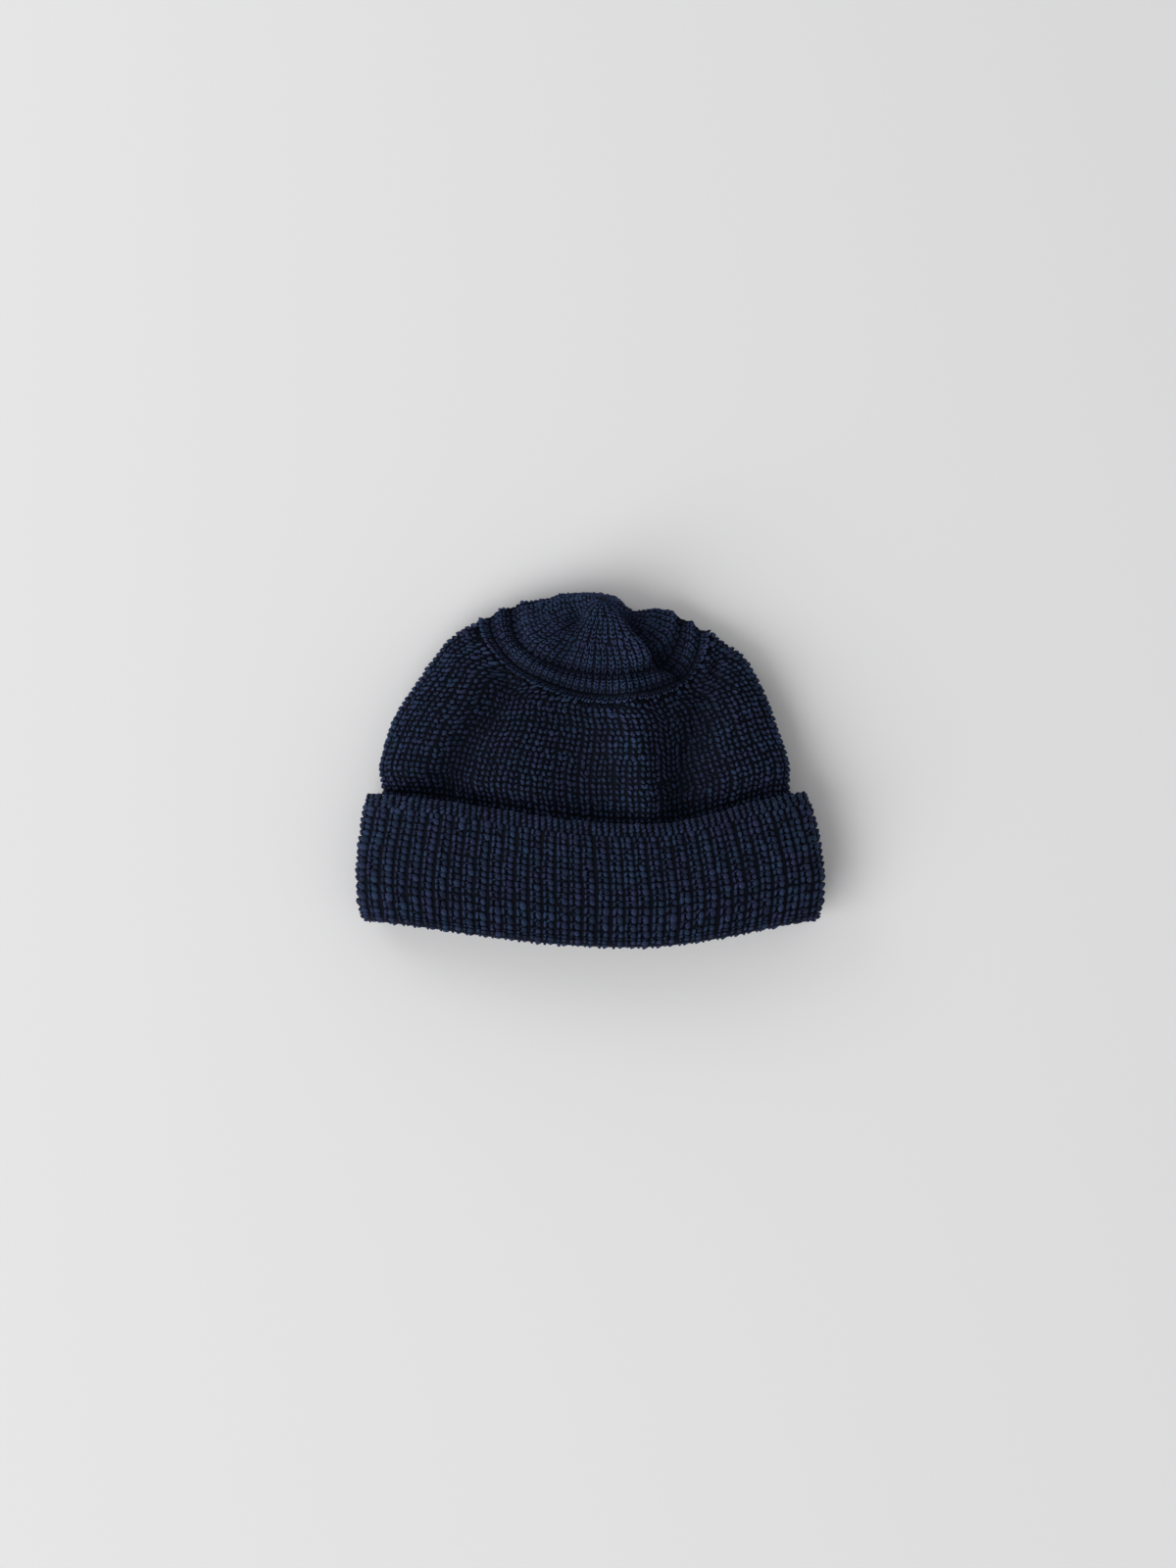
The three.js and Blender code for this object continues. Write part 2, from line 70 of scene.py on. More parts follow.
# One row for each ring round the hat, as in the solids. climb is its place along the knit at the
# sides. X columns are shares of half the flat width, Y columns of the flat length, Z columns of
# the loft. left and right are the side folds, crest is where the ring sags most, front and back
# are its sagging middles, and the last three say how square it is and how narrow its sag.
RING_COLUMNS = (
    "climb", "left_x", "left_y", "right_x", "right_y", "side_z", "crest_x", "front_y",
    "top_z", "back_y", "base_z", "square_top", "square_back", "sag_power",
)
RINGS = (
    (0.000, -0.985, 0.095, 0.977, 0.095, 0.455, 0.173, 0.024, 0.968, 0.065, 0, 2.4, 5, 1.3),
    (0.089, -1.002, 0.185, 0.998, 0.185, 0.455, 0.173, 0.116, 0.959, 0.161, 0, 2.4, 5, 1.4),
    (0.167, -0.991, 0.262, 0.978, 0.262, 0.443, 0.164, 0.190, 0.943, 0.244, 0, 2.4, 5, 1.5),
    (0.244, -0.962, 0.339, 0.942, 0.339, 0.420, 0.185, 0.261, 0.927, 0.324, 0, 2.4, 5, 1.6),
    (0.332, -0.930, 0.425, 0.892, 0.425, 0.386, 0.230, 0.345, 0.911, 0.411, 0, 2.4, 5, 1.7),
    (0.372, -0.922, 0.467, 0.872, 0.467, 0.375, 0.190, 0.376, 0.884, 0.452, 0, 2.4, 5, 1.7),
    (0.460, -0.887, 0.554, 0.831, 0.554, 0.352, 0.135, 0.424, 0.855, 0.524, 0, 2.4, 5, 1.6),
    (0.529, -0.857, 0.619, 0.795, 0.619, 0.341, 0.109, 0.458, 0.864, 0.577, 0, 2.4, 5, 1.4),
    (0.601, -0.804, 0.685, 0.760, 0.685, 0.341, 0.100, 0.509, 0.864, 0.631, 0, 2.4, 5, 1.1),
    (0.675, -0.737, 0.750, 0.717, 0.750, 0.330, 0.091, 0.560, 0.855, 0.685, 0, 2.4, 4.5, 0.85),
    (0.756, -0.665, 0.818, 0.656, 0.818, 0.318, 0.091, 0.616, 0.836, 0.738, 0, 2.4, 4, 0.68),
    (0.818, -0.610, 0.863, 0.573, 0.858, 0.318, 0.091, 0.659, 0.818, 0.774, 0, 2.4, 4, 0.57),
    (0.951, -0.437, 0.930, 0.470, 0.896, 0.318, 0.091, 0.705, 0.786, 0.810, 0, 2.4, 3.5, 0.45),
    (0.985, -0.386, 0.946, 0.430, 0.912, 0.318, 0.070, 0.733, 0.777, 0.827, 0, 2.4, 3.2, 0.36),
    (1.020, -0.340, 0.959, 0.390, 0.929, 0.318, 0.045, 0.763, 0.768, 0.845, 0, 2.4, 3, 0.30),
    (1.050, -0.285, 0.967, 0.345, 0.944, 0.330, 0.035, 0.793, 0.784, 0.875, 0, 2.4, 2.8, 0.33),
    (1.100, -0.209, 0.975, 0.273, 0.956, 0.352, 0.023, 0.838, 0.791, 0.923, 0, 2.4, 2.5, 0.45),
    (1.155, -0.125, 0.981, 0.200, 0.962, 0.398, 0.028, 0.882, 0.755, 0.964, 0.06, 2.3, 2.3, 0.6),
    (1.210, -0.048, 0.980, 0.140, 0.966, 0.455, 0.038, 0.915, 0.693, 0.985, 0.2, 2.2, 2.1, 0.7),
    (1.250, 0.002, 0.970, 0.084, 0.960, 0.511, 0.042, 0.936, 0.627, 0.978, 0.39, 2, 2, 0.7),
    (1.280, 0.024, 0.957, 0.056, 0.954, 0.568, 0.040, 0.945, 0.586, 0.962, 0.55, 2, 2, 0.7),
)

# One row for each soft fold or dent, as in the solids: from its start to its end as seen from
# above, how far it reaches to its left and right, and how deep it is, a ridge above zero.
FOLD_COLUMNS = ("start_x", "start_y", "end_x", "end_y", "left_width", "right_width", "depth")
FOLDS = (
    (0.500, 0.745, 0.365, 0.365, 0.050, 0.125, -0.110),  # pleat right of the middle, its hollow
    (0.190, 0.670, 0.250, 0.385, 0.130, 0.060, 0.060),  # and its ridge
    (-0.340, 0.730, -0.630, 0.470, 0.110, 0.120, -0.060),  # dent on the left
    (0.190, 0.920, 0.330, 0.808, 0.040, 0.085, -0.110),  # hollow beside the crown's middle
    (0.050, 0.935, 0.200, 0.835, 0.080, 0.040, 0.050),  # tongue in front of the crown's eye
    (-0.060, 0.940, -0.230, 0.930, 0.025, 0.025, -0.040),  # gathers left of the eye
    (-0.050, 0.925, -0.220, 0.870, 0.025, 0.025, -0.045),
    (-0.030, 0.905, -0.110, 0.820, 0.022, 0.022, -0.035),
    (-0.110, 0.990, 0.090, 0.985, 0.050, 0.050, 0.035),  # small roll behind the eye
    (0.140, 0.990, 0.190, 0.970, 0.025, 0.035, -0.030),  # and the notch where the roll ends
)

# The same for softer forms and creases that the solids leave out, with how round each one is:
# 2 for a soft fold and 1 for a crease that is sharp along its line
EXTRA_COLUMNS = (*FOLD_COLUMNS, "roundness")
EXTRA_FOLDS = (
    (0.410, 0.780, 0.370, 0.440, 0.125, 0.105, -0.175, 2),  # pleat right of the middle
    (0.165, 0.700, 0.235, 0.385, 0.070, 0.065, 0.065, 2),  # ridge that runs down to the lip
    (-0.115, 0.690, -0.020, 0.430, 0.180, 0.200, -0.120, 2),  # hollow left of the ridge
    (-0.370, 0.750, -0.640, 0.460, 0.085, 0.085, -0.160, 2),  # dent on the left
    (-0.860, 0.420, -0.450, 0.395, 0.050, 0.050, -0.085, 2),  # gaps along the lip
    (0.440, 0.365, 0.720, 0.400, 0.050, 0.050, -0.065, 2),
    (0.130, 0.935, 0.300, 0.815, 0.020, 0.060, -0.110, 1),  # under the tongue's right edge
    (0.200, 0.920, 0.280, 0.850, 0.050, 0.050, -0.030, 2),  # and the hollow beside it
    (0.060, 0.935, 0.190, 0.840, 0.070, 0.070, 0.060, 2),  # the tongue
    (-0.010, 0.815, 0.240, 0.820, 0.060, 0.060, 0.040, 2),  # and its front end
    (-0.060, 0.950, -0.135, 0.830, 0.045, 0.050, -0.085, 2),  # valley on its left
    (-0.040, 0.940, -0.260, 0.900, 0.020, 0.025, -0.040, 1),  # gathers left of the eye
    (-0.070, 0.962, -0.270, 0.950, 0.020, 0.022, -0.030, 1),
    (-0.230, 0.940, -0.240, 0.860, 0.080, 0.080, 0.035, 2),  # lobe between them and the welt
    (0.290, 0.950, 0.380, 0.880, 0.060, 0.060, 0.030, 2),  # lobe on the right
)
FOLD_FADE = 0.3  # share of a crease's length over which it fades in
FOLDS_START = 0.7  # where the folds fade in, as a share of the way up to the lip
LIFT_START = 0.25  # and where the cuff starts to stand off

# How far up the knit faces, from -1 to 1, where each of these fades in
FOLDS_TILT = (-0.9, -0.3)
EXTRA_TILT = (0.1, 0.6)
LIFT_TILT = (-0.8, 0.2)
GAP_TILT = (0.1, 0.7)

HOLLOW_DEPTH = 0.012  # how deep a hollow lies where its painted shade is darkest, and how high a ridge stands where its painted light is brightest
LIP_GAP = 0.0014  # how far the wall dips behind the cuff's lip
LIP_GAP_WIDTH = 0.0055
GROOVE_FILL = 0.6  # how much shallower the grooves are where the knit turns to the floor
GROOVES_FROM = (0.85, 0.93)  # climbs between which that fades in


def linear_from_hex(code):
    """An sRGB hex colour as linear red, green and blue."""
    channels = [(code >> shift & 255) / 255 for shift in (16, 8, 0)]
    return [c / 12.92 if c <= 0.04045 else ((c + 0.055) / 1.055) ** 2.4 for c in channels]


def length_property(name, description, default):
    """A length in metres that a user can change."""
    return bpy.props.FloatProperty(
        name=name, description=description, default=default, min=0, unit="LENGTH", precision=5
    )


def colour_property(name, description, code):
    """A colour that a user can change, given as sRGB hex."""
    return bpy.props.FloatVectorProperty(
        name=name, description=description, default=linear_from_hex(code), min=0, max=1,
        size=3, subtype="COLOR",
    )


class BeanieSizes(bpy.types.PropertyGroup):
    """The sizes of the hat as it lies."""

    flat_width: length_property("Flat width", "Widest place of the turned-up cuff", 0.220)
    flat_length: length_property("Flat length", "Lowest point of the cuff to the top edge", 0.168)
    loft: length_property("Loft", "Height of the lying hat at the cuff's lip", 0.044)
    cuff_height: length_property("Cuff height", "Bottom of the fold to the lip", 0.0596)
    knit_wall: length_property("Knit wall", "Thickness of the ribbed knit", 0.0036)
    crown_wall: length_property("Crown wall", "Thickness of the plain knit", 0.003)
    cuff_clearance: length_property("Cuff clearance", "Room between cuff and side wall", 0.0005)
    lip_lift: length_property("Lip lift", "How far the lip stands off the side wall", 0.0034)
    tuck_depth: length_property("Tuck depth", "How far the cuff reaches inside the mouth", 0.011)
    cuff_step: length_property("Cuff step", "Over which the wall comes down behind the cuff", 0.016)
    settle: length_property("Settle", "How far the back is pressed flat by the floor", 0.0007)
    groove_gap: length_property("Groove gap", "Between the pieces that meet in a groove", 0.0007)
    groove_depth: length_property("Groove depth", "How deep the two grooves are", 0.0018)
    welt_relief: length_property("Welt relief", "How far the welt stands up", 0.0009)
    rim_relief: length_property("Rim relief", "How far the crown's rim stands up", 0.0007)


class BeanieKnit(bpy.types.PropertyGroup):
    """The gauge of the knit."""

    rib_count: bpy.props.IntProperty(
        name="Ribs", description="Ribs round the cuff and the side wall", default=72, min=24
    )
    crown_wales: bpy.props.IntProperty(
        name="Crown wales", description="Columns of plain knit on the welt", default=80, min=32
    )
    cuff_row: length_property("Cuff row", "Height of a row of stitches on the cuff", 0.0029)
    wall_row: length_property("Wall row", "Height of a row of stitches on the wall", 0.0028)
    crown_row: length_property("Crown row", "Height of a row of plain knit", 0.0023)
    rib_relief: length_property("Rib relief", "A rib's crest above the middle of the knit", 0.0006)
    backing_depth: length_property("Backing depth", "From the yarn's crest to its backing", 0.0013)
    seed: bpy.props.IntProperty(
        name="Seed", description="Start of the draws that make stitches uneven", default=7, min=0
    )


class BeanieColours(bpy.types.PropertyGroup):
    """The dye shades of the wool, the colour of its painted shade, and the floor's colour."""

    navy: colour_property("Navy", "Most of the fibres", 0x232E47)
    teal: colour_property("Teal", "Patches with more teal fibres", 0x1F3148)
    plum: colour_property("Plum", "Patches with more purple fibres", 0x272A47)
    # painted shade: the colour that yarn deep between the stitches, and the backing, are painted toward
    shade: colour_property("Shade", "Yarn deep between the stitches", 0x070A17)
    floor: colour_property("Floor", "Pale studio floor", 0xE6E6E7)


class BeanieStudio(bpy.types.PropertyGroup):
    """Camera and lights."""

    view_width: length_property("View width", "What the picture's short side takes in", 0.5522)
    lens: bpy.props.FloatProperty(
        name="Lens", description="Focal length", default=70, min=20, subtype="DISTANCE_CAMERA"
    )
    key_power: bpy.props.FloatProperty(
        name="Key light", description="Watts of the soft light on the left", default=176, min=0
    )
    fill_power: bpy.props.FloatProperty(
        name="Fill light", description="Watts of the light at the upper left", default=3.2, min=0
    )
    dome_strength: bpy.props.FloatProperty(
        name="Dome", description="Strength of the even light all round", default=0.48, min=0
    )


def smooth_step(low, high, value):
    """0 below low, 1 above high, and an even curve between them."""
    share = np.clip((value - low) / (high - low), 0, 1)
    return share * share * (3 - 2 * share)


def curve_through(places, values, at):
    """A smooth curve through a column's rows that never passes the rows beside it."""
    step = np.diff(places)
    slope = np.diff(values) / step
    before, after = slope[:-1], slope[1:]
    weight_before = 2 * step[1:] + step[:-1]
    weight_after = step[1:] + 2 * step[:-1]
    one_way = before * after > 0
    safe_before = np.where(one_way, before, 1)
    safe_after = np.where(one_way, after, 1)
    mean = (weight_before + weight_after) / (weight_before / safe_before + weight_after / safe_after)
    tangent = np.concatenate([[0], np.where(one_way, mean, 0), [0]])
    row = np.clip(np.searchsorted(places, at, side="left") - 1, 0, len(step) - 1)
    share = (at - places[row]) / step[row]
    start, end = values[row], values[row + 1]
    start_slope, end_slope = tangent[row] * step[row], tangent[row + 1] * step[row]
    rise = 3 * (end - start) - 2 * start_slope - end_slope
    ease = start_slope + end_slope - 2 * (end - start)
    return start + share * (start_slope + share * (rise + share * ease))


def between(grid, along, across):
    """Values of a grid between its rows and its columns."""
    row = np.minimum(along.astype(int), grid.shape[0] - 2)
    column = np.minimum(across.astype(int), grid.shape[1] - 2)
    x, y = across - column, along - row
    if grid.ndim > 2:
        x, y = x[:, None], y[:, None]
    low = grid[row, column] * (1 - x) + grid[row, column + 1] * x
    high = grid[row + 1, column] * (1 - x) + grid[row + 1, column + 1] * x
    return low * (1 - y) + high * y


class HatForm:
    """The shape that the knit is wrapped on: the middle surface of the lying hat."""

    def __init__(self, sizes):
        self.sizes = sizes
        self.cuff_layer = sizes.knit_wall + sizes.cuff_clearance
        self.fold_radius = sizes.knit_wall + sizes.cuff_clearance / 2
        self.lip = (sizes.cuff_height - self.fold_radius) / sizes.flat_length
        self.climbs = np.arange(0, CROWN_EYE + CLIMB_STEP / 2, CLIMB_STEP)
        self.points = self.wrap_outlines(self.outlines())
        self.normals = self.facing(self.points)
        down = self.points[0] - self.points[NORMAL_STEPS]
        self.down = down / np.linalg.norm(down, axis=-1, keepdims=True)
        self.surface = self.folded_surface()

    def ring_sizes(self):
        """Each column of the table in metres, at every climb. Under the cuff, its layer is off."""
        table = dict(zip(RING_COLUMNS, np.array(RINGS, float).T))
        row = {n: curve_through(table["climb"], table[n], self.climbs) for n in RING_COLUMNS}
        step = self.sizes.cuff_step / self.sizes.flat_length
        layer = self.cuff_layer * (1 - smooth_step(self.lip, self.lip + step, self.climbs))
        half_width, length, loft = self.sizes.flat_width / 2, self.sizes.flat_length, self.sizes.loft
        for name in ("left_x", "right_x", "crest_x"):
            row[name] = row[name] * half_width
        for name in ("left_y", "right_y", "front_y", "back_y"):
            row[name] = (row[name] - 0.5) * length
        for name in ("side_z", "top_z", "base_z"):
            row[name] = row[name] * loft
        row["left_x"] += layer
        row["right_x"] -= layer
        row["top_z"] -= layer
        row["base_z"] += layer - self.sizes.settle
        return {name: values[:, None] for name, values in row.items()}

    def outlines(self):
        """Points round each ring, from the middle of the front to the right."""
        ring = self.ring_sizes()
        steps = WALES * STEPS_PER_WALE
        angle = math.pi / 2 - np.arange(steps + 1) / steps * 2 * math.pi
        side, rise = np.cos(angle), np.sin(angle)
        on_top = rise >= 0
        square = np.where(on_top, ring["square_top"], ring["square_back"])
        reach = (np.abs(side) ** square + np.abs(rise) ** square) ** (-1 / square)
        middle = (ring["left_x"] + ring["right_x"]) / 2
        half = (ring["right_x"] - ring["left_x"]) / 2
        across = side * reach
        crest = (ring["crest_x"] - middle) / half
        past = across > crest
        off = np.where(past, (across - crest) / (1 - crest), (crest - across) / (1 + crest))
        sag = np.maximum(0, np.cos(off * math.pi / 2)) ** ring["sag_power"]
        turn = ring["right_y"] - ring["left_y"]
        edge = ring["left_y"] + turn * (across + 1) / 2
        crest_edge = ring["left_y"] + turn * (crest + 1) / 2
        sag_y = np.where(on_top, ring["front_y"], ring["back_y"]) - crest_edge
        top_depth = ring["top_z"] - ring["side_z"]
        depth = np.where(on_top, top_depth, ring["side_z"] - ring["base_z"])
        z = ring["side_z"] + depth * rise * reach
        return np.stack([middle + half * across, edge + sag_y * sag, z], axis=-1)

    def wrap_outlines(self, outlines):
        """The same rings with their points at equal steps along them."""
        steps = np.linalg.norm(np.diff(outlines, axis=1), axis=-1)
        travelled = np.concatenate([np.zeros((len(outlines), 1)), np.cumsum(steps, axis=1)], axis=1)
        share = np.linspace(0, 1, outlines.shape[1])
        wrapped = np.empty_like(outlines)
        for place, (outline, way) in enumerate(zip(outlines, travelled)):
            for axis in range(3):
                wrapped[place, :, axis] = np.interp(share * way[-1], way, outline[:, axis])
        return wrapped

    def facing(self, points):
        """The way that the knit faces at each point."""
        ring = points[:, :-1]
        round_hat = np.roll(ring, -STEPS_PER_WALE, axis=1) - np.roll(ring, STEPS_PER_WALE, axis=1)
        rows = np.arange(len(points))
        above = ring[np.minimum(rows + NORMAL_STEPS, len(points) - 1)]
        up = above - ring[np.maximum(rows - NORMAL_STEPS, 0)]
        normal = np.cross(round_hat, up)
        normal /= np.linalg.norm(normal, axis=-1, keepdims=True)
        return np.concatenate([normal, normal[:, :1]], axis=1)

    def sample(self, grid, wale, climb):
        """Values of a grid over the form between its steps."""
        along = np.clip(climb, 0, CROWN_EYE) / CLIMB_STEP
        return between(grid, along, (wale % WALES) * STEPS_PER_WALE)

    def fold_height(self, points, normals):
        """How far the folds raise the knit. The side that lies underneath has none."""
        half_width, length, loft = self.sizes.flat_width / 2, self.sizes.flat_length, self.sizes.loft
        height = np.zeros(len(points))
        for row in (*FOLDS, *EXTRA_FOLDS):
            fold = {"roundness": 2, **dict(zip(EXTRA_COLUMNS, row))}
            tilt = EXTRA_TILT if row in EXTRA_FOLDS else FOLDS_TILT
            start = np.array([fold["start_x"] * half_width, (fold["start_y"] - 0.5) * length])
            end = np.array([fold["end_x"] * half_width, (fold["end_y"] - 0.5) * length])
            run = end - start
            away = points[:, :2] - start
            is_left = np.sign(run[1]) * (run[0] * away[:, 1] - run[1] * away[:, 0]) > 0
            along = np.clip(away @ run / (run @ run), 0, 1)
            off = np.linalg.norm(away - along[:, None] * run, axis=1)
            width = np.where(is_left, fold["left_width"], fold["right_width"]) * half_width
            near = np.exp(-((off / width) ** fold["roundness"]))
            if fold["roundness"] == 1:
                near *= smooth_step(-FOLD_FADE / 3, FOLD_FADE, along)
            height += fold["depth"] * loft * near * smooth_step(*tilt, normals[:, 2])
        return height

    def folded_surface(self):
        """The form with its folds, without the turned-up cuff."""
        rows, columns, _ = self.points.shape
        wale = np.tile(np.arange(columns) / STEPS_PER_WALE, rows)
        wale[wale >= WALES] = 0
        along = np.repeat(self.climbs, columns) * self.sizes.flat_length
        return self.place(wale, along, np.zeros(len(wale))).reshape(rows, columns, 3)

    def girth(self, climb):
        """How far it is round the hat."""
        ring = self.surface[round(climb / CLIMB_STEP)]
        return np.linalg.norm(np.diff(ring, axis=0), axis=1).sum()

    def lengths_from(self, origin):
        """How far up from a climb each point of the folded knit lies."""
        step = np.linalg.norm(np.diff(self.surface, axis=0), axis=-1)
        travelled = np.concatenate([np.zeros((1, step.shape[1])), np.cumsum(step, axis=0)])
        return travelled - travelled[round(origin / CLIMB_STEP)]

    def climb_table(self, origin, lengths):
        """The climb that lies so far up each wale, as measured on the folded knit."""
        ways = self.lengths_from(origin).T
        return np.stack([np.interp(lengths, way, self.climbs) for way in ways], axis=1)

    def climb_at(self, table, lengths, wale, length):
        """Climbs from such a table between its steps."""
        along = np.clip((length - lengths[0]) / (lengths[1] - lengths[0]), 0, len(lengths) - 1)
        return between(table, along, (wale % WALES) * STEPS_PER_WALE)

    def place(self, wale, along, height, is_cuff=False):
        """Points so far round the knit in wales, and so far along it and off it in metres.

        hollow is then how deep in a fold each of them lies, for its painted shade, and how high on a
        ridge, as a negative value, for its painted light.
        """
        climb = along / self.sizes.flat_length
        points = self.sample(self.points, wale, climb)
        normals = self.sample(self.normals, wale, climb)
        normals /= np.linalg.norm(normals, axis=1, keepdims=True)
        if is_cuff:
            tilt = smooth_step(*LIFT_TILT, normals[:, 2])
            lift = self.sizes.lip_lift * smooth_step(LIFT_START * self.lip, self.lip, climb) * tilt
            raised = np.zeros(len(along))
        else:
            lift = self.fold_height(points, normals) * smooth_step(FOLDS_START * self.lip, self.lip, climb)
            faces_up = smooth_step(*GAP_TILT, normals[:, 2])
            gap = np.exp(-(((along - self.lip * self.sizes.flat_length) / LIP_GAP_WIDTH) ** 2))
            raised = lift
            lift = lift - LIP_GAP * gap * faces_up
            shallow = (1 - faces_up) * smooth_step(*GROOVES_FROM, climb) * GROOVE_FILL
            height = np.where(height < 0, height * (1 - shallow), height)
        # painted shade in hollows and painted light on ridges, as a share of HOLLOW_DEPTH
        self.hollow = -raised / HOLLOW_DEPTH
        points = points + normals * (height + lift)[:, None]
        past_fold = np.maximum(0, -along)[:, None]
        points += self.sample(self.down[None].repeat(2, axis=0), wale, climb * 0) * past_fold
        points[:, 2] = np.maximum(points[:, 2], 0)
        return points + np.array(FORM_SHIFT)


class KnitPath:
    """The line that a fabric follows as seen from its side: how far along the hat and off it."""

    def __init__(self, points):
        self.points = points
        step = np.linalg.norm(np.diff(points, axis=0), axis=1)
        self.travelled = np.concatenate([[0], np.cumsum(step)])
        self.length = self.travelled[-1]
        way = np.gradient(points, self.travelled, axis=0)
        way /= np.linalg.norm(way, axis=1, keepdims=True)
        self.normals = np.stack([-way[:, 1], way[:, 0]], axis=1)

    def at(self, travelled, height):
        """Places along the hat and heights off it, for a way along the path and a height off it."""
        along, off = (
            np.interp(travelled, self.travelled, self.points[:, axis])
            + np.interp(travelled, self.travelled, self.normals[:, axis]) * height
            for axis in range(2)
        )
        return along, off


PATH_STEP = 0.0004


def straight(*corners):
    """Points of a stretch of a path that runs straight from corner to corner."""
    return np.concatenate([
        np.linspace(start, end, max(2, math.ceil(math.dist(start, end) / PATH_STEP)))
        for start, end in zip(corners, corners[1:])
    ])


def arc(centre, radius, start, end):
    """Points of a round stretch of a path, between two angles in degrees."""
    turn = np.radians(np.linspace(start, end, max(6, math.ceil(radius / PATH_STEP * 4))))
    return np.stack([centre[0] + radius * np.cos(turn), centre[1] + radius * np.sin(turn)], axis=1)


def joined_path(*stretches):
    """One path from several stretches, each starting where the last one ends."""
    points = np.concatenate(stretches)
    keep = np.concatenate([[True], np.linalg.norm(np.diff(points, axis=0), axis=1) > PATH_STEP / 20])
    return KnitPath(points[keep])


def coordinates(mesh):
    """A mesh's points as an array."""
    flat = np.empty(len(mesh.vertices) * 3, np.float32)
    mesh.vertices.foreach_get("co", flat)
    return flat.reshape(-1, 3).astype(float)


def set_coordinates(mesh, points):
    """Moves a mesh's points."""
    mesh.vertices.foreach_set("co", points.astype(np.float32).ravel())
    mesh.update()


BLUNTNESS = 0.4  # how much fuller a leg's ends are than those of an egg

# One row for each leg of yarn in a stitch. x and y are the leg's middle in its cell, from the
# cell's middle line and its lower edge, width and length are its size, all as shares of the cell.
# slant is its turn in degrees, lean how far its far end dips and rise how high its crest stands,
# as shares of the yarn's thickness, and the last two are the faces round it and along it.
LEG_COLUMNS = ("x", "y", "width", "length", "slant", "lean", "rise", "sides", "rings")
CUFF_LEGS = (
    (-0.33, 0.5, 0.27, 1.00, -10, -0.25, 0, 6, 4),
    (0.17, 0.48, 0.44, 0.98, 46, -0.25, 0, 6, 4),
    (-0.06, 0.90, 0.18, 1.05, -70, 0, -0.32, 4, 3),
)
WALL_LEGS = (
    (-0.25, 0.46, 0.34, 0.96, 38, 0.20, 0, 5, 4),
    (0.25, 0.54, 0.34, 0.96, -38, 0.20, 0, 5, 4),
    (0, 0.97, 0.18, 1.10, 60, 0, -0.42, 4, 3),
    (0.5, 0.03, 0.18, 1.10, -60, 0, -0.42, 4, 3),
)
PLAIN_LEGS = (
    (-0.20, 0.5, 0.34, 1.15, 22, 0.35, 0, 6, 4),
    (0.20, 0.5, 0.34, 1.15, -22, 0.35, 0, 6, 4),
)
EDGE_LEGS = (
    (-0.22, 0.5, 0.36, 1.05, 18, 0.30, 0, 5, 4),
    (0.22, 0.5, 0.36, 1.05, -18, 0.30, 0, 5, 4),
)
LIP_LEGS = ((0, 0.5, 0.60, 1.6, -38, 0.1, 0, 6, 4),)


def stitch_cell(name, legs, width, height, thickness):
    """A flat mesh with the yarn legs of one stitch."""
    mesh = bpy.data.meshes.new(name)
    bm = bmesh.new()
    bm.loops.layers.uv.new("yarn")
    numbered = bm.verts.layers.int.new("leg")
    for number, values in enumerate(legs):
        leg = dict(zip(LEG_COLUMNS, values))
        made = bmesh.ops.create_uvsphere(
            bm, u_segments=leg["sides"], v_segments=leg["rings"], radius=0.5, calc_uvs=True
        )["verts"]
        for vert in made:
            swell = 1 + BLUNTNESS * 4 * vert.co.z ** 2
            vert.co.x *= swell
            vert.co.y *= swell
        size = (leg["width"] * width, thickness, leg["length"] * height)
        bmesh.ops.scale(bm, vec=size, verts=made)
        bmesh.ops.rotate(bm, matrix=Matrix.Rotation(math.radians(-90), 3, "X"), verts=made)
        for vert in made:
            vert[numbered] = number
            vert.co.z -= leg["lean"] * thickness * vert.co.y / size[2] * 2
        bmesh.ops.rotate(bm, matrix=Matrix.Rotation(math.radians(leg["slant"]), 3, "Z"), verts=made)
        place = (leg["x"] * width, leg["y"] * height, (leg["rise"] - 0.5) * thickness)
        bmesh.ops.translate(bm, vec=place, verts=made)
    bm.to_mesh(mesh)
    bm.free()
    return mesh


def repeated(mesh, columns, rows, width, height):
    """A flat mesh with a stitch cell repeated round the hat and along it."""
    cell = bpy.data.objects.new(mesh.name, mesh)
    bpy.context.scene.collection.objects.link(cell)
    for name, count, offset in (("round", columns, (width, 0, 0)), ("along", rows, (0, height, 0))):
        array = cell.modifiers.new(name, "ARRAY")
        array.fit_type = "FIXED_COUNT"
        array.count = count
        array.use_relative_offset = False
        array.use_constant_offset = True
        array.constant_offset_displace = offset
    bpy.context.view_layer.update()
    graph = bpy.context.evaluated_depsgraph_get()
    whole = bpy.data.meshes.new_from_object(cell.evaluated_get(graph))
    bpy.data.objects.remove(cell)
    bpy.data.meshes.remove(mesh)
    return whole


def add_values(mesh, name, values):
    """Gives each point of a mesh a number that its material reads."""
    layer = mesh.attributes.new(name, "FLOAT", "POINT")
    layer.data.foreach_set("value", np.asarray(values, np.float32))


# Spreads of the draws that make stitches uneven
UNEVEN_SHIFT = 0.055  # how far a leg is off its place, as a share of its row
UNEVEN_SIZE = 0.12  # as a share of its size
UNEVEN_TURN = math.radians(9)
UNEVEN_SWAY = 0.035  # how far a column sways from side to side, as a share of its width
SWAY_ROWS = 7  # rows over which a column sways one way
UNEVEN_RISE = 0.00012
UNEVEN_COLUMN = 0.025  # how far a whole column is off its place, as a share of its width
UNEVEN_ROW = 0.04  # the same for a row, as a share of its height


RIB_SQUARENESS = 2.5  # how flat a rib is between its furrows
LENGTH_STEP = 0.0005
BAND_LAP = 0.003  # how far a band reaches over the one below it, as a climb


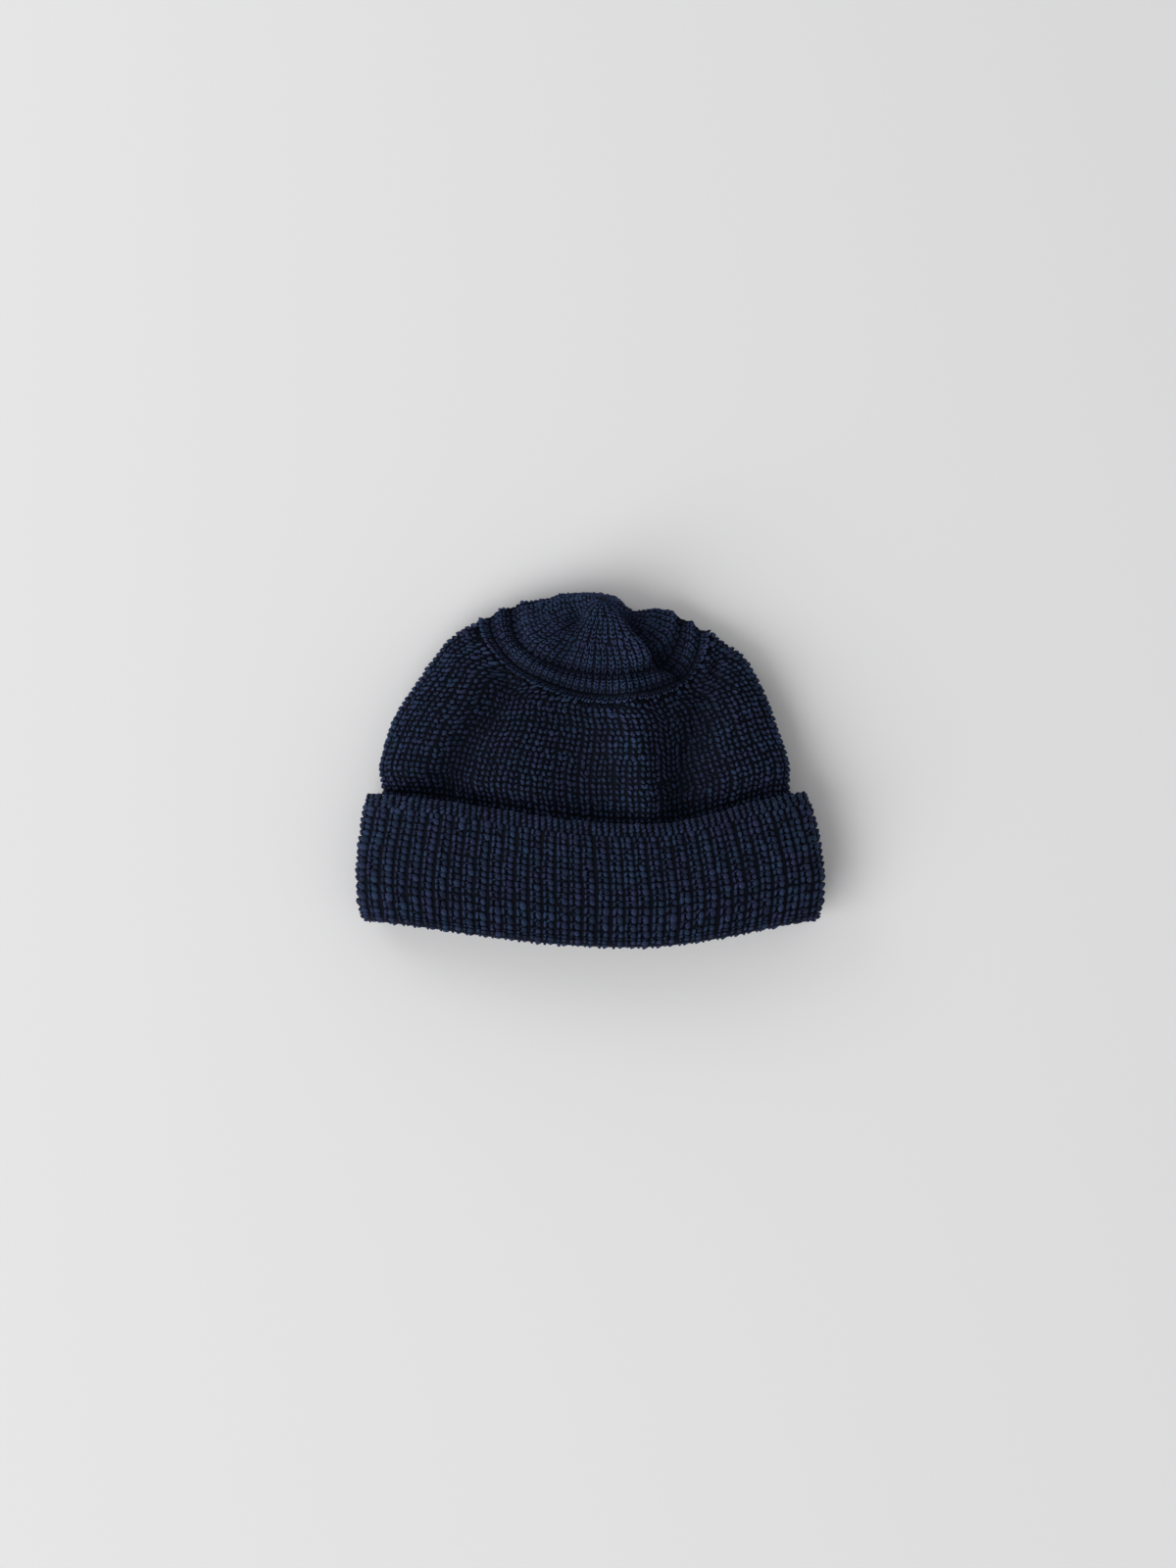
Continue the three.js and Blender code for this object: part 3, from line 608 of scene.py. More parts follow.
class Fabric:
    """Stitches laid out flat: so many columns round the hat and rows along it."""

    def __init__(self, legs, columns, rows, width, height, thickness, draws, tone=0):
        # tone is painted light: how much lighter this fabric's yarn is painted than the cuff's
        self.tone = tone
        self.turn = columns * width
        self.width = width
        cell = stitch_cell("stitch", legs, width, height, thickness)
        cell_verts = len(cell.vertices)
        self.mesh = repeated(cell, columns, rows, width, height)
        self.points = coordinates(self.mesh)
        numbers = np.empty(len(self.points), np.int32)
        self.mesh.attributes["leg"].data.foreach_get("value", numbers)
        cells = np.arange(len(self.points)) // cell_verts
        self.make_uneven(cells * len(legs) + numbers, cells % columns, cells // columns, draws, height)

    def make_uneven(self, legs, columns, rows, draws, height):
        """Shifts, turns and resizes each yarn leg a little, and gives it a tone of its own on top of the
        fabric's painted light.
        """
        count = legs.max() + 1
        total = [np.bincount(legs, self.points[:, axis]) for axis in range(3)]
        middle = (np.stack(total, axis=1) / np.bincount(legs)[:, None])[legs]
        off = (self.points - middle) * (1 + draws.normal(0, UNEVEN_SIZE, count)[legs, None])
        turn = draws.normal(0, UNEVEN_TURN, count)[legs]
        x = off[:, 0] * np.cos(turn) - off[:, 1] * np.sin(turn)
        y = off[:, 0] * np.sin(turn) + off[:, 1] * np.cos(turn)
        middle[:, 0] += x + draws.normal(0, UNEVEN_SHIFT * height, count)[legs]
        middle[:, 1] += y + draws.normal(0, UNEVEN_SHIFT * height, count)[legs]
        middle[:, 2] += off[:, 2] + draws.normal(0, UNEVEN_RISE, count)[legs]
        middle[:, 0] += draws.normal(0, UNEVEN_COLUMN * self.width, columns.max() + 1)[columns]
        middle[:, 1] += draws.normal(0, UNEVEN_ROW * height, rows.max() + 1)[rows]
        noise = draws.normal(0, 1, (rows.max() + SWAY_ROWS, columns.max() + 1))
        sway = sum(noise[first : first + rows.max() + 1] for first in range(SWAY_ROWS))
        middle[:, 0] += UNEVEN_SWAY * self.width / SWAY_ROWS ** 0.5 * sway[rows, columns]
        self.points = middle
        self.legs = legs
        add_values(self.mesh, "tone_and_painted_light", (self.tone + draws.uniform(0, 1, count))[legs])

    def raise_ribs(self, relief):
        """Rounds each column into a rib with a furrow at its edges."""
        across = np.abs((self.points[:, 0] / self.width + 0.5) % 1 - 0.5) * 2
        self.points[:, 2] += relief * (1 - 2 * across ** RIB_SQUARENESS)

    def wrapped(self, form, path, start, backing_depth, is_cuff=False):
        """The fabric wrapped on the form from a place along a path."""
        along, height = path.at(self.points[:, 1] + start, self.points[:, 2])
        wale = self.points[:, 0] / self.turn * WALES
        set_coordinates(self.mesh, form.place(wale, along, height, is_cuff))
        # painted shade in grooves and painted light on the welt and the rim, from the path's height; the
        # cuff gets none
        groove = np.zeros(len(height)) if is_cuff else self.points[:, 2] - height
        self.shade_by_depth(backing_depth, groove, form.hollow)
        return self.mesh

    def shade_by_depth(self, backing_depth, groove, hollow):
        """Tells the material how deep each point lies in the knit, in a groove and in a fold, for its
        painted shade, and how high it stands, for its painted light.
        """
        add_values(self.mesh, "painted_depth_shade", -self.points[:, 2] / backing_depth)
        add_values(self.mesh, "painted_fold_shade_and_light", np.clip(hollow + groove * GROOVE_SHADE, -1, 1))

    def laid_by_length(self, form, path, origin, start, band, backing_depth, edge=None):
        """The fabric wrapped on the form with its rows equally high everywhere.

        origin is the climb from which lengths are measured, start the length at which the fabric
        starts, and band the climbs that it covers: the stitches outside of it are left out. edge
        is a climb by which the path ends, and how far from it the stitches stop.
        """
        length = self.points[:, 1] + start
        lengths = np.arange(length.min() - LENGTH_STEP, length.max() + LENGTH_STEP, LENGTH_STEP)
        wale = self.points[:, 0] / self.turn * WALES
        climb = form.climb_at(form.climb_table(origin, lengths), lengths, wale, length)
        along = climb * form.sizes.flat_length
        away = np.full(len(along), -1.0)
        if edge:
            away = form.sample(form.lengths_from(edge[0]), wale, climb)
            level_at = edge[0] * form.sizes.flat_length + away
        else:
            level_at = along
        level = np.interp(level_at, path.points[:, 0], path.points[:, 1])
        set_coordinates(self.mesh, form.place(wale, along, level + self.points[:, 2]))
        # painted shade in grooves and painted light on raised rows and the rim, from the path's height
        self.shade_by_depth(backing_depth, -level, form.hollow)
        size = np.bincount(self.legs)
        middle, near_edge = (np.bincount(self.legs, values) / size for values in (climb, away))
        stop = -edge[1] if edge else 0
        outside = (middle < band[0] - BAND_LAP) | (middle >= band[1]) | (near_edge > stop)
        bm = bmesh.new()
        bm.from_mesh(self.mesh)
        bm.verts.ensure_lookup_table()
        dropped = [bm.verts[index] for index in np.flatnonzero(outside[self.legs])]
        bmesh.ops.delete(bm, geom=dropped, context="VERTS")
        bm.to_mesh(self.mesh)
        bm.free()
        return self.mesh


BACKING_STEP = 0.002
WELD = 0.00001  # points nearer than this are one


def backing(form, path, columns, is_cuff=False):
    """A closed body of knit between the stitches, wrapped along a closed path."""
    mesh = bpy.data.meshes.new("backing")
    bm = bmesh.new()
    bm.loops.layers.uv.new("yarn")
    rows = math.ceil(path.length / BACKING_STEP)
    bmesh.ops.create_grid(bm, x_segments=columns, y_segments=rows, size=0.5, calc_uvs=True)
    bm.to_mesh(mesh)
    bm.free()
    flat = coordinates(mesh) + 0.5
    along, height = path.at(flat[:, 1] * path.length, flat[:, 0] * 0)
    set_coordinates(mesh, form.place(flat[:, 0] * WALES, along, height, is_cuff))
    # painted shade and light of the folds, as on the stitches
    add_values(mesh, "painted_fold_shade_and_light", form.hollow)
    close_seams(mesh)
    add_values(mesh, "tone_and_painted_light", np.full(len(mesh.vertices), 0.5))
    # painted shade: the whole backing takes the full shade colour
    add_values(mesh, "painted_depth_shade", np.ones(len(mesh.vertices)))
    return mesh


def close_seams(mesh):
    """Welds a wrapped backing where its edges meet, closes its ends and turns it outwards."""
    bm = bmesh.new()
    bm.from_mesh(mesh)
    bmesh.ops.remove_doubles(bm, verts=bm.verts, dist=WELD)
    open_edges = [edge for edge in bm.edges if edge.is_boundary]
    if open_edges:
        caps = bmesh.ops.holes_fill(bm, edges=open_edges, sides=0)["faces"]
        bmesh.ops.poke(bm, faces=caps)
    bmesh.ops.recalc_face_normals(bm, faces=bm.faces)
    bm.to_mesh(mesh)
    bm.free()


def finish_piece(name, meshes, material, node):
    """Joins meshes into one piece that rides on the hat and stands for a node of the model."""
    bm = bmesh.new()
    for mesh in meshes:
        bm.from_mesh(mesh)
        bpy.data.meshes.remove(mesh)
    for face in bm.faces:
        face.smooth = True
    whole = bpy.data.meshes.new(name)
    bm.to_mesh(whole)
    bm.free()
    whole.materials.append(material)
    piece = bpy.data.objects.new(name, whole)
    bpy.context.scene.collection.objects.link(piece)
    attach(piece, "root")
    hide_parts(node)


def add_node(tree, kind, inputs=(), **settings):
    """Adds a node with its settings, and its inputs as values or as links from other sockets."""
    node = tree.nodes.new(kind)
    for name, value in settings.items():
        setattr(node, name, value)
    for name, value in dict(inputs).items():
        socket = node.inputs[name]
        if isinstance(value, bpy.types.NodeSocket):
            tree.links.new(value, socket)
        else:
            socket.default_value = value
    return node


# Wool, worsted-spun and dyed in the fleece: fibres of several navy shades lie side by side, so
# the yarn is flecked, it shows its two plies, and its loose fibres give the surface a soft sheen.
PATCH_SIZE = 0.009  # patches of teal and of plum
FLECK_SIZE = 0.0005  # flecks of single fibres, drawn coarser than the real 0.02 mm
PLY_TURNS = 2  # how often the plies cross a leg
FLECK_CONTRAST = 0.55
TONE_CONTRAST = 0.4
SHADE_FROM, SHADE_TO = 0.15, 0.95  # painted shade between the stitches: the shares of the way down to the backing where it starts and where it is full
FOLD_SHADE = 0.45  # painted shade: what is left of the yarn's colour at the bottom of a hollow; a ridge is painted as much lighter
BUMP_DEPTH = 0.0002


def wool_material(colours):
    """Wool yarn in mixed navy, with painted shade the deeper it lies between the stitches and in folds and
    grooves, and painted light on ridges, welts and raised rows.
    """
    name = "worsted_wool_yarn"
    if name in bpy.data.materials:
        return bpy.data.materials[name]
    material = bpy.data.materials.new(name)
    material.use_nodes = True
    tree = material.node_tree
    tree.nodes.clear()
    place = add_node(tree, "ShaderNodeTexCoord").outputs["Object"]
    tone, depth, hollow = (
        add_node(tree, "ShaderNodeAttribute", attribute_name=attribute).outputs["Fac"]
        for attribute in ("tone_and_painted_light", "painted_depth_shade", "painted_fold_shade_and_light")
    )
    patches, flecks = (
        add_node(
            tree, "ShaderNodeTexNoise",
            {"Vector": place, "Scale": 1 / size, "Detail": 2, "Roughness": roughness},
        ).outputs["Fac"]
        for size, roughness in ((PATCH_SIZE, 0.5), (FLECK_SIZE, 0.7))
    )
    dyed = add_node(tree, "ShaderNodeValToRGB", {"Fac": patches})
    ramp = dyed.color_ramp
    ramp.elements[0].position = 0.3
    ramp.elements[0].color = (*colours.teal, 1)
    ramp.elements[1].position = 0.7
    ramp.elements[1].color = (*colours.plum, 1)
    ramp.elements.new(0.5).color = (*colours.navy, 1)
    lit = dyed.outputs["Color"]
    # flecks are the wool's own colour and tone its own random tone plus each piece's painted light; the
    # last gain is painted shade in hollows and grooves and painted light on ridges, welts, the rim and
    # raised rows
    for value, low, high, darkest, lightest in (
        (flecks, 0.3, 0.7, 1 - FLECK_CONTRAST, 1 + FLECK_CONTRAST),
        (tone, 0, 1, 1 - TONE_CONTRAST, 1 + TONE_CONTRAST),
        (hollow, -1, 1, 2 - FOLD_SHADE, FOLD_SHADE),
    ):
        gain = add_node(
            tree, "ShaderNodeMapRange",
            {"Value": value, "From Min": low, "From Max": high, "To Min": darkest,
             "To Max": lightest},
        ).outputs["Result"]
        lit = add_node(
            tree, "ShaderNodeVectorMath", {0: lit, "Scale": gain}, operation="SCALE"
        ).outputs["Vector"]
    # painted shade between the stitches: the deeper the yarn lies, the more it turns to the shade colour
    shade = add_node(
        tree, "ShaderNodeMapRange", {"Value": depth, "From Min": SHADE_FROM, "From Max": SHADE_TO},
        interpolation_type="SMOOTHSTEP",
    )
    colour = add_node(
        tree, "ShaderNodeMix",
        {"Factor": shade.outputs["Result"], "A": lit, "B": (*colours.shade, 1)}, data_type="RGBA",
    )
    yarn = add_node(tree, "ShaderNodeUVMap", uv_map="yarn").outputs["UV"]
    plies = add_node(
        tree, "ShaderNodeTexWave",
        {"Vector": yarn, "Scale": PLY_TURNS, "Distortion": 1.5, "Detail": 1},
        wave_type="BANDS", bands_direction="DIAGONAL",
    )
    relief = add_node(
        tree, "ShaderNodeMath",
        {0: plies.outputs["Fac"], 1: flecks}, operation="ADD",
    )
    bump = add_node(
        tree, "ShaderNodeBump",
        {"Height": relief.outputs[0], "Strength": 0.6, "Distance": BUMP_DEPTH},
    )
    surface = add_node(
        tree, "ShaderNodeBsdfPrincipled",
        {"Base Color": colour.outputs["Result"], "Roughness": 0.75, "IOR": 1.45,
         "Specular IOR Level": 0.1, "Sheen Weight": 0.09, "Sheen Roughness": 0.45,
         "Sheen Tint": (0.45, 0.55, 1, 1), "Normal": bump.outputs["Normal"]},
    )
    add_node(tree, "ShaderNodeOutputMaterial", {"Surface": surface.outputs["BSDF"]})
    return material


# Of each fabric, THICKNESS is that of its yarn, the shade depth where its painted shade is darkest,
# the painted light how much lighter its yarn is painted than the cuff's, and ROW a row's height
RIB_GAUGE = 2.15  # a rib's width, in rows of the cuff
YARN_THICKNESS = 0.0022

LIP_BAND = 0.0045  # the cuff's edge, where its columns stand closer
LIP_ROW = 0.0018
FOLD_REACH = 0.014  # from the fold, over which the cuff's ribs are flatter
FOLD_SUNK = 0.45  # how deep the backing lies at the fold, as a share of its depth elsewhere

WALL_BANDS = (0.5, 0.62, 0.72, 0.8, 0.88, OUTER_GROOVE)
WALL_BELOW_LIP = 0.2  # how far the wall's stitches reach under the cuff, as a share of the way up
WALL_ROWS_BELOW = 2  # and how many of their rows are kept there
WALL_GAUGE = 0.93  # a column's width, as a share of the cuff's
WALL_RELIEF = 0.6
# painted shade: the depth at which the wall's yarn is darkest
WALL_SHADE_DEPTH = 0.0011
# painted light: how much lighter the wall's yarn is painted than the cuff's
WALL_PAINTED_LIGHT = 0.2

EDGE_ROWS = 2  # rows of finer stitches beside the outer groove
EDGE_ROW = 0.0025
EDGE_CLEAR = 0.25  # what is left free beside them, in rows
EDGE_WIDTH = 0.0031
EDGE_THICKNESS = 0.00176
# painted light: how much lighter these raised rows are painted than the cuff's
EDGE_PAINTED_LIGHT = 0.7
ROW_RELIEF = 0.0013  # how far they stand up
GROOVE_SLOPE = 0.0042  # from the bottom of a groove to the crest beside it
GROOVE_SHADE = 450  # how much painted shade yarn gets in a groove for each metre of its depth, and how much painted light for each metre that it stands up on a welt, the rim and raised rows

PLAIN_THICKNESS = 0.0017
PLAIN_GAUGE = 1.45  # a stitch's width, in rows
PLAIN_SUNK = 0.0011  # how deep the backing lies
# painted shade: the depth at which the plain knit's yarn is darkest
PLAIN_SHADE_DEPTH = 0.0013
# painted light: how much lighter the plain knit is painted than the cuff's
PLAIN_PAINTED_LIGHT = 0.8
WELT_POWER = 1.9  # how narrow the welt's crest is
WELT_STEPS = 40
# Climbs where the crown's bands end, and their stitches' size as a share of the welt's
CROWN_BANDS = (1.105, 1.2, CROWN_EYE + 0.001)
CROWN_GAUGES = (0.95, 0.85, 0.75)
CROWN_BACKED = 0.45  # how far below the eye its inner face ends, as a share of the way
UNDERLAP = 0.0016  # how far the welt's backing reaches below its neighbours


class HatOperator:
    """What the operators of the hat's pieces share."""

    bl_options = {"REGISTER", "UNDO"}

    def ready(self, context, stream):
        """The sizes, the gauge and the form, and a stream of draws of its own."""
        scene = context.scene
        self.sizes, self.knit = scene.beanie_sizes, scene.beanie_knit
        self.form = HatForm(self.sizes)
        self.yarn = wool_material(scene.beanie_colours)
        self.rib = self.knit.cuff_row * RIB_GAUGE
        self.draws = np.random.default_rng((self.knit.seed, stream))

    def ribs(self, legs, row, path, start, end, fold, is_cuff=False):
        """Ribs between two places along a path, flatter near a third, the fold."""
        rows = round((end - start) / row)
        fabric = Fabric(
            legs, self.knit.rib_count, rows, self.rib, (end - start) / rows, YARN_THICKNESS,
            self.draws,
        )
        from_fold = np.abs(fabric.points[:, 1] + start - fold)
        fabric.raise_ribs(self.knit.rib_relief * smooth_step(0, FOLD_REACH, from_fold))
        return fabric.wrapped(self.form, path, start, self.knit.backing_depth, is_cuff)

    def bands(self, legs, path, origin, start, end, bands, cell, yarn, edge=None):
        """Bands of one fabric, each with as many columns as there is room for round the hat.

        bands are climbs, cell a stitch's width and height, and yarn its thickness, the ribs'
        relief, the depth where its painted shade is darkest and the painted light that makes it lighter
        than the cuff's.
        """
        width, height = cell
        thickness, relief, depth, tone = yarn
        rows = math.ceil((end - start) / height)
        meshes = []
        for band in zip(bands, bands[1:]):
            columns = round(self.form.girth((band[0] + band[1]) / 2) / width)
            fabric = Fabric(legs, columns, rows, width, height, thickness, self.draws, tone)
            fabric.raise_ribs(relief)
            meshes.append(fabric.laid_by_length(self.form, path, origin, start, band, depth, edge))
        return meshes

    def plain(self, path, start, end, wales):
        """Plain knit, wrapped on the form between two places along a path."""
        row = self.knit.crown_row
        rows = max(1, round((end - start) / row))
        width = self.form.girth(path.points[0, 0] / self.sizes.flat_length) / wales
        fabric = Fabric(
            PLAIN_LEGS, wales, rows, width, (end - start) / rows, PLAIN_THICKNESS,
            self.draws, PLAIN_PAINTED_LIGHT,
        )
        return fabric.wrapped(self.form, path, start, PLAIN_SHADE_DEPTH)


class BEANIE_OT_knit_cuff(HatOperator, bpy.types.Operator):
    """Knits the turned-up cuff: tucked inside the mouth, round the fold and up to its lip"""

    bl_idname = "beanie.knit_cuff"
    bl_label = "Knit cuff"

    def execute(self, context):
        self.ready(context, 1)
        sizes, form = self.sizes, self.form
        wall, clear = sizes.knit_wall, sizes.cuff_clearance
        tuck, radius = sizes.tuck_depth, form.fold_radius
        lip = form.lip * sizes.flat_length
        edge, sunk = wall / 2, self.knit.backing_depth
        centre = wall / 2 + clear
        face = joined_path(
            straight((tuck, -wall), (0, -wall)),
            arc((0, clear / 2), radius, 270, 90),
            straight((0, wall + clear), (lip - edge, wall + clear)),
            arc((lip - edge, centre), edge, 90, -90),
        )
        body = joined_path(
            straight((tuck, -wall + sunk), (0, -wall + sunk)),
            arc((0, clear / 2), radius - sunk * FOLD_SUNK, 270, 90),
            straight((0, wall + clear - sunk), (lip - edge, wall + clear - sunk)),
            arc((lip - edge, centre - sunk / 2), edge - sunk / 2, 90, -90),
            straight((lip - edge, clear), (0, clear)),
            arc((0, clear / 2), clear / 2, 90, 270),
            straight((0, 0), (tuck, 0), (tuck, -wall + sunk)),
        )
        end = face.length - math.pi * edge
        stitches = self.ribs(
            CUFF_LEGS, self.knit.cuff_row, face, 0, end - LIP_BAND, tuck + radius * math.pi / 2, True
        )
        columns = self.knit.rib_count * 2
        rows = round((LIP_BAND + math.pi * edge / 2) / LIP_ROW)
        band = Fabric(
            LIP_LEGS, columns, rows, self.rib / 2, LIP_ROW, PLAIN_THICKNESS, self.draws
        ).wrapped(form, face, end - LIP_BAND, PLAIN_SUNK, True)
        core = backing(form, body, WALES * 2, True)
        finish_piece("cuff_stitches", [stitches, band], self.yarn, "cuff")
        finish_piece("cuff_core", [core], self.yarn, "cuff")
        return {"FINISHED"}


class BEANIE_OT_knit_side_wall(HatOperator, bpy.types.Operator):
    """Knits the ribbed side wall, from the tuck inside the cuff up to the outer groove"""

    bl_idname = "beanie.knit_side_wall"
    bl_label = "Knit side wall"

    def execute(self, context):
        self.ready(context, 2)
        sizes, form = self.sizes, self.form
        wall, sunk, groove = sizes.knit_wall, self.knit.backing_depth, sizes.groove_depth
        start = sizes.tuck_depth + sizes.groove_gap / 2
        end = OUTER_GROOVE * sizes.flat_length - sizes.groove_gap / 2
        lip = form.lip * sizes.flat_length
        slope = GROOVE_SLOPE
        face = joined_path(
            straight((start, 0), (end - slope * 2, 0)),
            rounded_step((end - slope * 2, 0), (end - slope, ROW_RELIEF)),
            rounded_step((end - slope, ROW_RELIEF), (end, -groove)),
        )
        body = joined_path(
            straight((start, -sunk), (end - slope, -sunk)),
            rounded_step((end - slope, -sunk), (end, -sunk - groove / 2)),
            straight((end, -sunk - groove / 2), (end, -wall), (start, -wall), (start, -sunk)),
        )
        bands = (self.form.lip - WALL_ROWS_BELOW * self.knit.wall_row / sizes.flat_length, *WALL_BANDS)
        meshes = self.bands(
            WALL_LEGS, face, form.lip, -lip * WALL_BELOW_LIP, end - lip, bands,
            (self.rib * WALL_GAUGE, self.knit.wall_row),
            (YARN_THICKNESS, self.knit.rib_relief * WALL_RELIEF, WALL_SHADE_DEPTH, WALL_PAINTED_LIGHT),
            (OUTER_GROOVE, (EDGE_ROWS + EDGE_CLEAR) * EDGE_ROW),
        )
        columns = round(form.girth(OUTER_GROOVE) / EDGE_WIDTH)
        rows = Fabric(
            EDGE_LEGS, columns, EDGE_ROWS, EDGE_WIDTH, EDGE_ROW, EDGE_THICKNESS, self.draws, EDGE_PAINTED_LIGHT
        )
        meshes.append(rows.laid_by_length(
            form, face, OUTER_GROOVE, -EDGE_ROWS * EDGE_ROW, (0, CROWN_EYE), sunk, (OUTER_GROOVE, -1)
        ))
        core = backing(form, body, WALES * 2)
        finish_piece("wall_stitches", meshes, self.yarn, "side_wall")
        finish_piece("wall_core", [core], self.yarn, "side_wall")
        return {"FINISHED"}


def rounded_step(start, end):
    """A stretch of a path that eases from one height to another."""
    points = straight(start, end)
    share = smooth_step(0, 1, np.linspace(0, 1, len(points)))
    points[:, 1] = start[1] + (end[1] - start[1]) * share
    return points


class BEANIE_OT_knit_welt(HatOperator, bpy.types.Operator):
    """Knits the plain welt that stands up between the two grooves"""

    bl_idname = "beanie.knit_welt"
    bl_label = "Knit welt"

    def execute(self, context):
        self.ready(context, 3)
        sizes = self.sizes
        wall, sunk, groove = sizes.crown_wall, PLAIN_SUNK, sizes.groove_depth
        start = OUTER_GROOVE * sizes.flat_length + sizes.groove_gap / 2
        end = INNER_GROOVE * sizes.flat_length - sizes.groove_gap / 2
        face = joined_path(welt_line(start, end, sizes.welt_relief, groove, 0))
        low, first, last = -groove - sunk, start - UNDERLAP, end + UNDERLAP
        body = joined_path(
            welt_line(start, end, sizes.welt_relief, groove, sunk),
            straight((end, low), (last, low), (last, -wall), (first, -wall), (first, low), (start, low)),
        )
        stitches = self.plain(face, 0, face.length, self.knit.crown_wales)
        core = backing(self.form, body, WALES * 2)
        finish_piece("welt_knit", [stitches, core], self.yarn, "welt_ring")
        return {"FINISHED"}


def welt_line(start, end, relief, groove, sunk):
    """The welt's face from groove to groove: half an oval."""
    share = np.linspace(0, 1, WELT_STEPS)
    rise = np.sin(share * math.pi) ** WELT_POWER
    height = -groove - sunk + (relief + groove) * rise
    return np.stack([start + (end - start) * share, height], axis=1)


class BEANIE_OT_knit_crown(HatOperator, bpy.types.Operator):
    """Knits the plain crown, gathered to its eye"""

    bl_idname = "beanie.knit_crown"
    bl_label = "Knit crown"

    def execute(self, context):
        self.ready(context, 4)
        sizes = self.sizes
        wall, sunk, groove = sizes.crown_wall, PLAIN_SUNK, sizes.groove_depth
        start = INNER_GROOVE * sizes.flat_length + sizes.groove_gap / 2
        end = CROWN_EYE * sizes.flat_length
        face = joined_path(rim_line(start, groove, sizes.rim_relief, end))
        body = joined_path(
            straight(
                (end - (end - start) * CROWN_BACKED, -wall), (start, -wall), (start, -groove - sunk)
            ),
            rim_line(start, groove, sizes.rim_relief, end) - (0, sunk),
        )
        row = self.knit.crown_row
        bands = (INNER_GROOVE, *CROWN_BANDS)
        meshes = []
        for band, gauge in zip(zip(bands, bands[1:]), CROWN_GAUGES):
            meshes += self.bands(
                PLAIN_LEGS, face, INNER_GROOVE, 0, end - start + row, band,
                (row * PLAIN_GAUGE * gauge, row * gauge ** 0.5),
                (PLAIN_THICKNESS, 0, PLAIN_SHADE_DEPTH, PLAIN_PAINTED_LIGHT),
            )
        meshes.append(backing(self.form, body, WALES * 2))
        finish_piece("crown_knit", meshes, self.yarn, "crown_top")
        return {"FINISHED"}


def rim_line(start, groove, relief, end):
    """The crown's face from the inner groove over its raised rim to the eye."""
    crest = start + GROOVE_SLOPE
    return np.concatenate([
        rounded_step((start, -groove), (crest, relief)),
        rounded_step((crest, relief), (crest + GROOVE_SLOPE, 0)),
        straight((crest + GROOVE_SLOPE, 0), (end, 0)),
    ])


FRAME_RATIO = 4 / 3
CAMERA_AT = Vector((-0.00114, -0.00693))
OUTLINE_HEIGHT = 0.020  # where the hat is widest, and the view width is measured
FLOOR_SIZE = 6
KEY_PLACE = Vector((-2.8, -2.4, 3.0))
KEY_SIZE = 5.0
FILL_PLACE = Vector((-1.0, 0.8, 0.9))
FILL_SIZE = 0.8


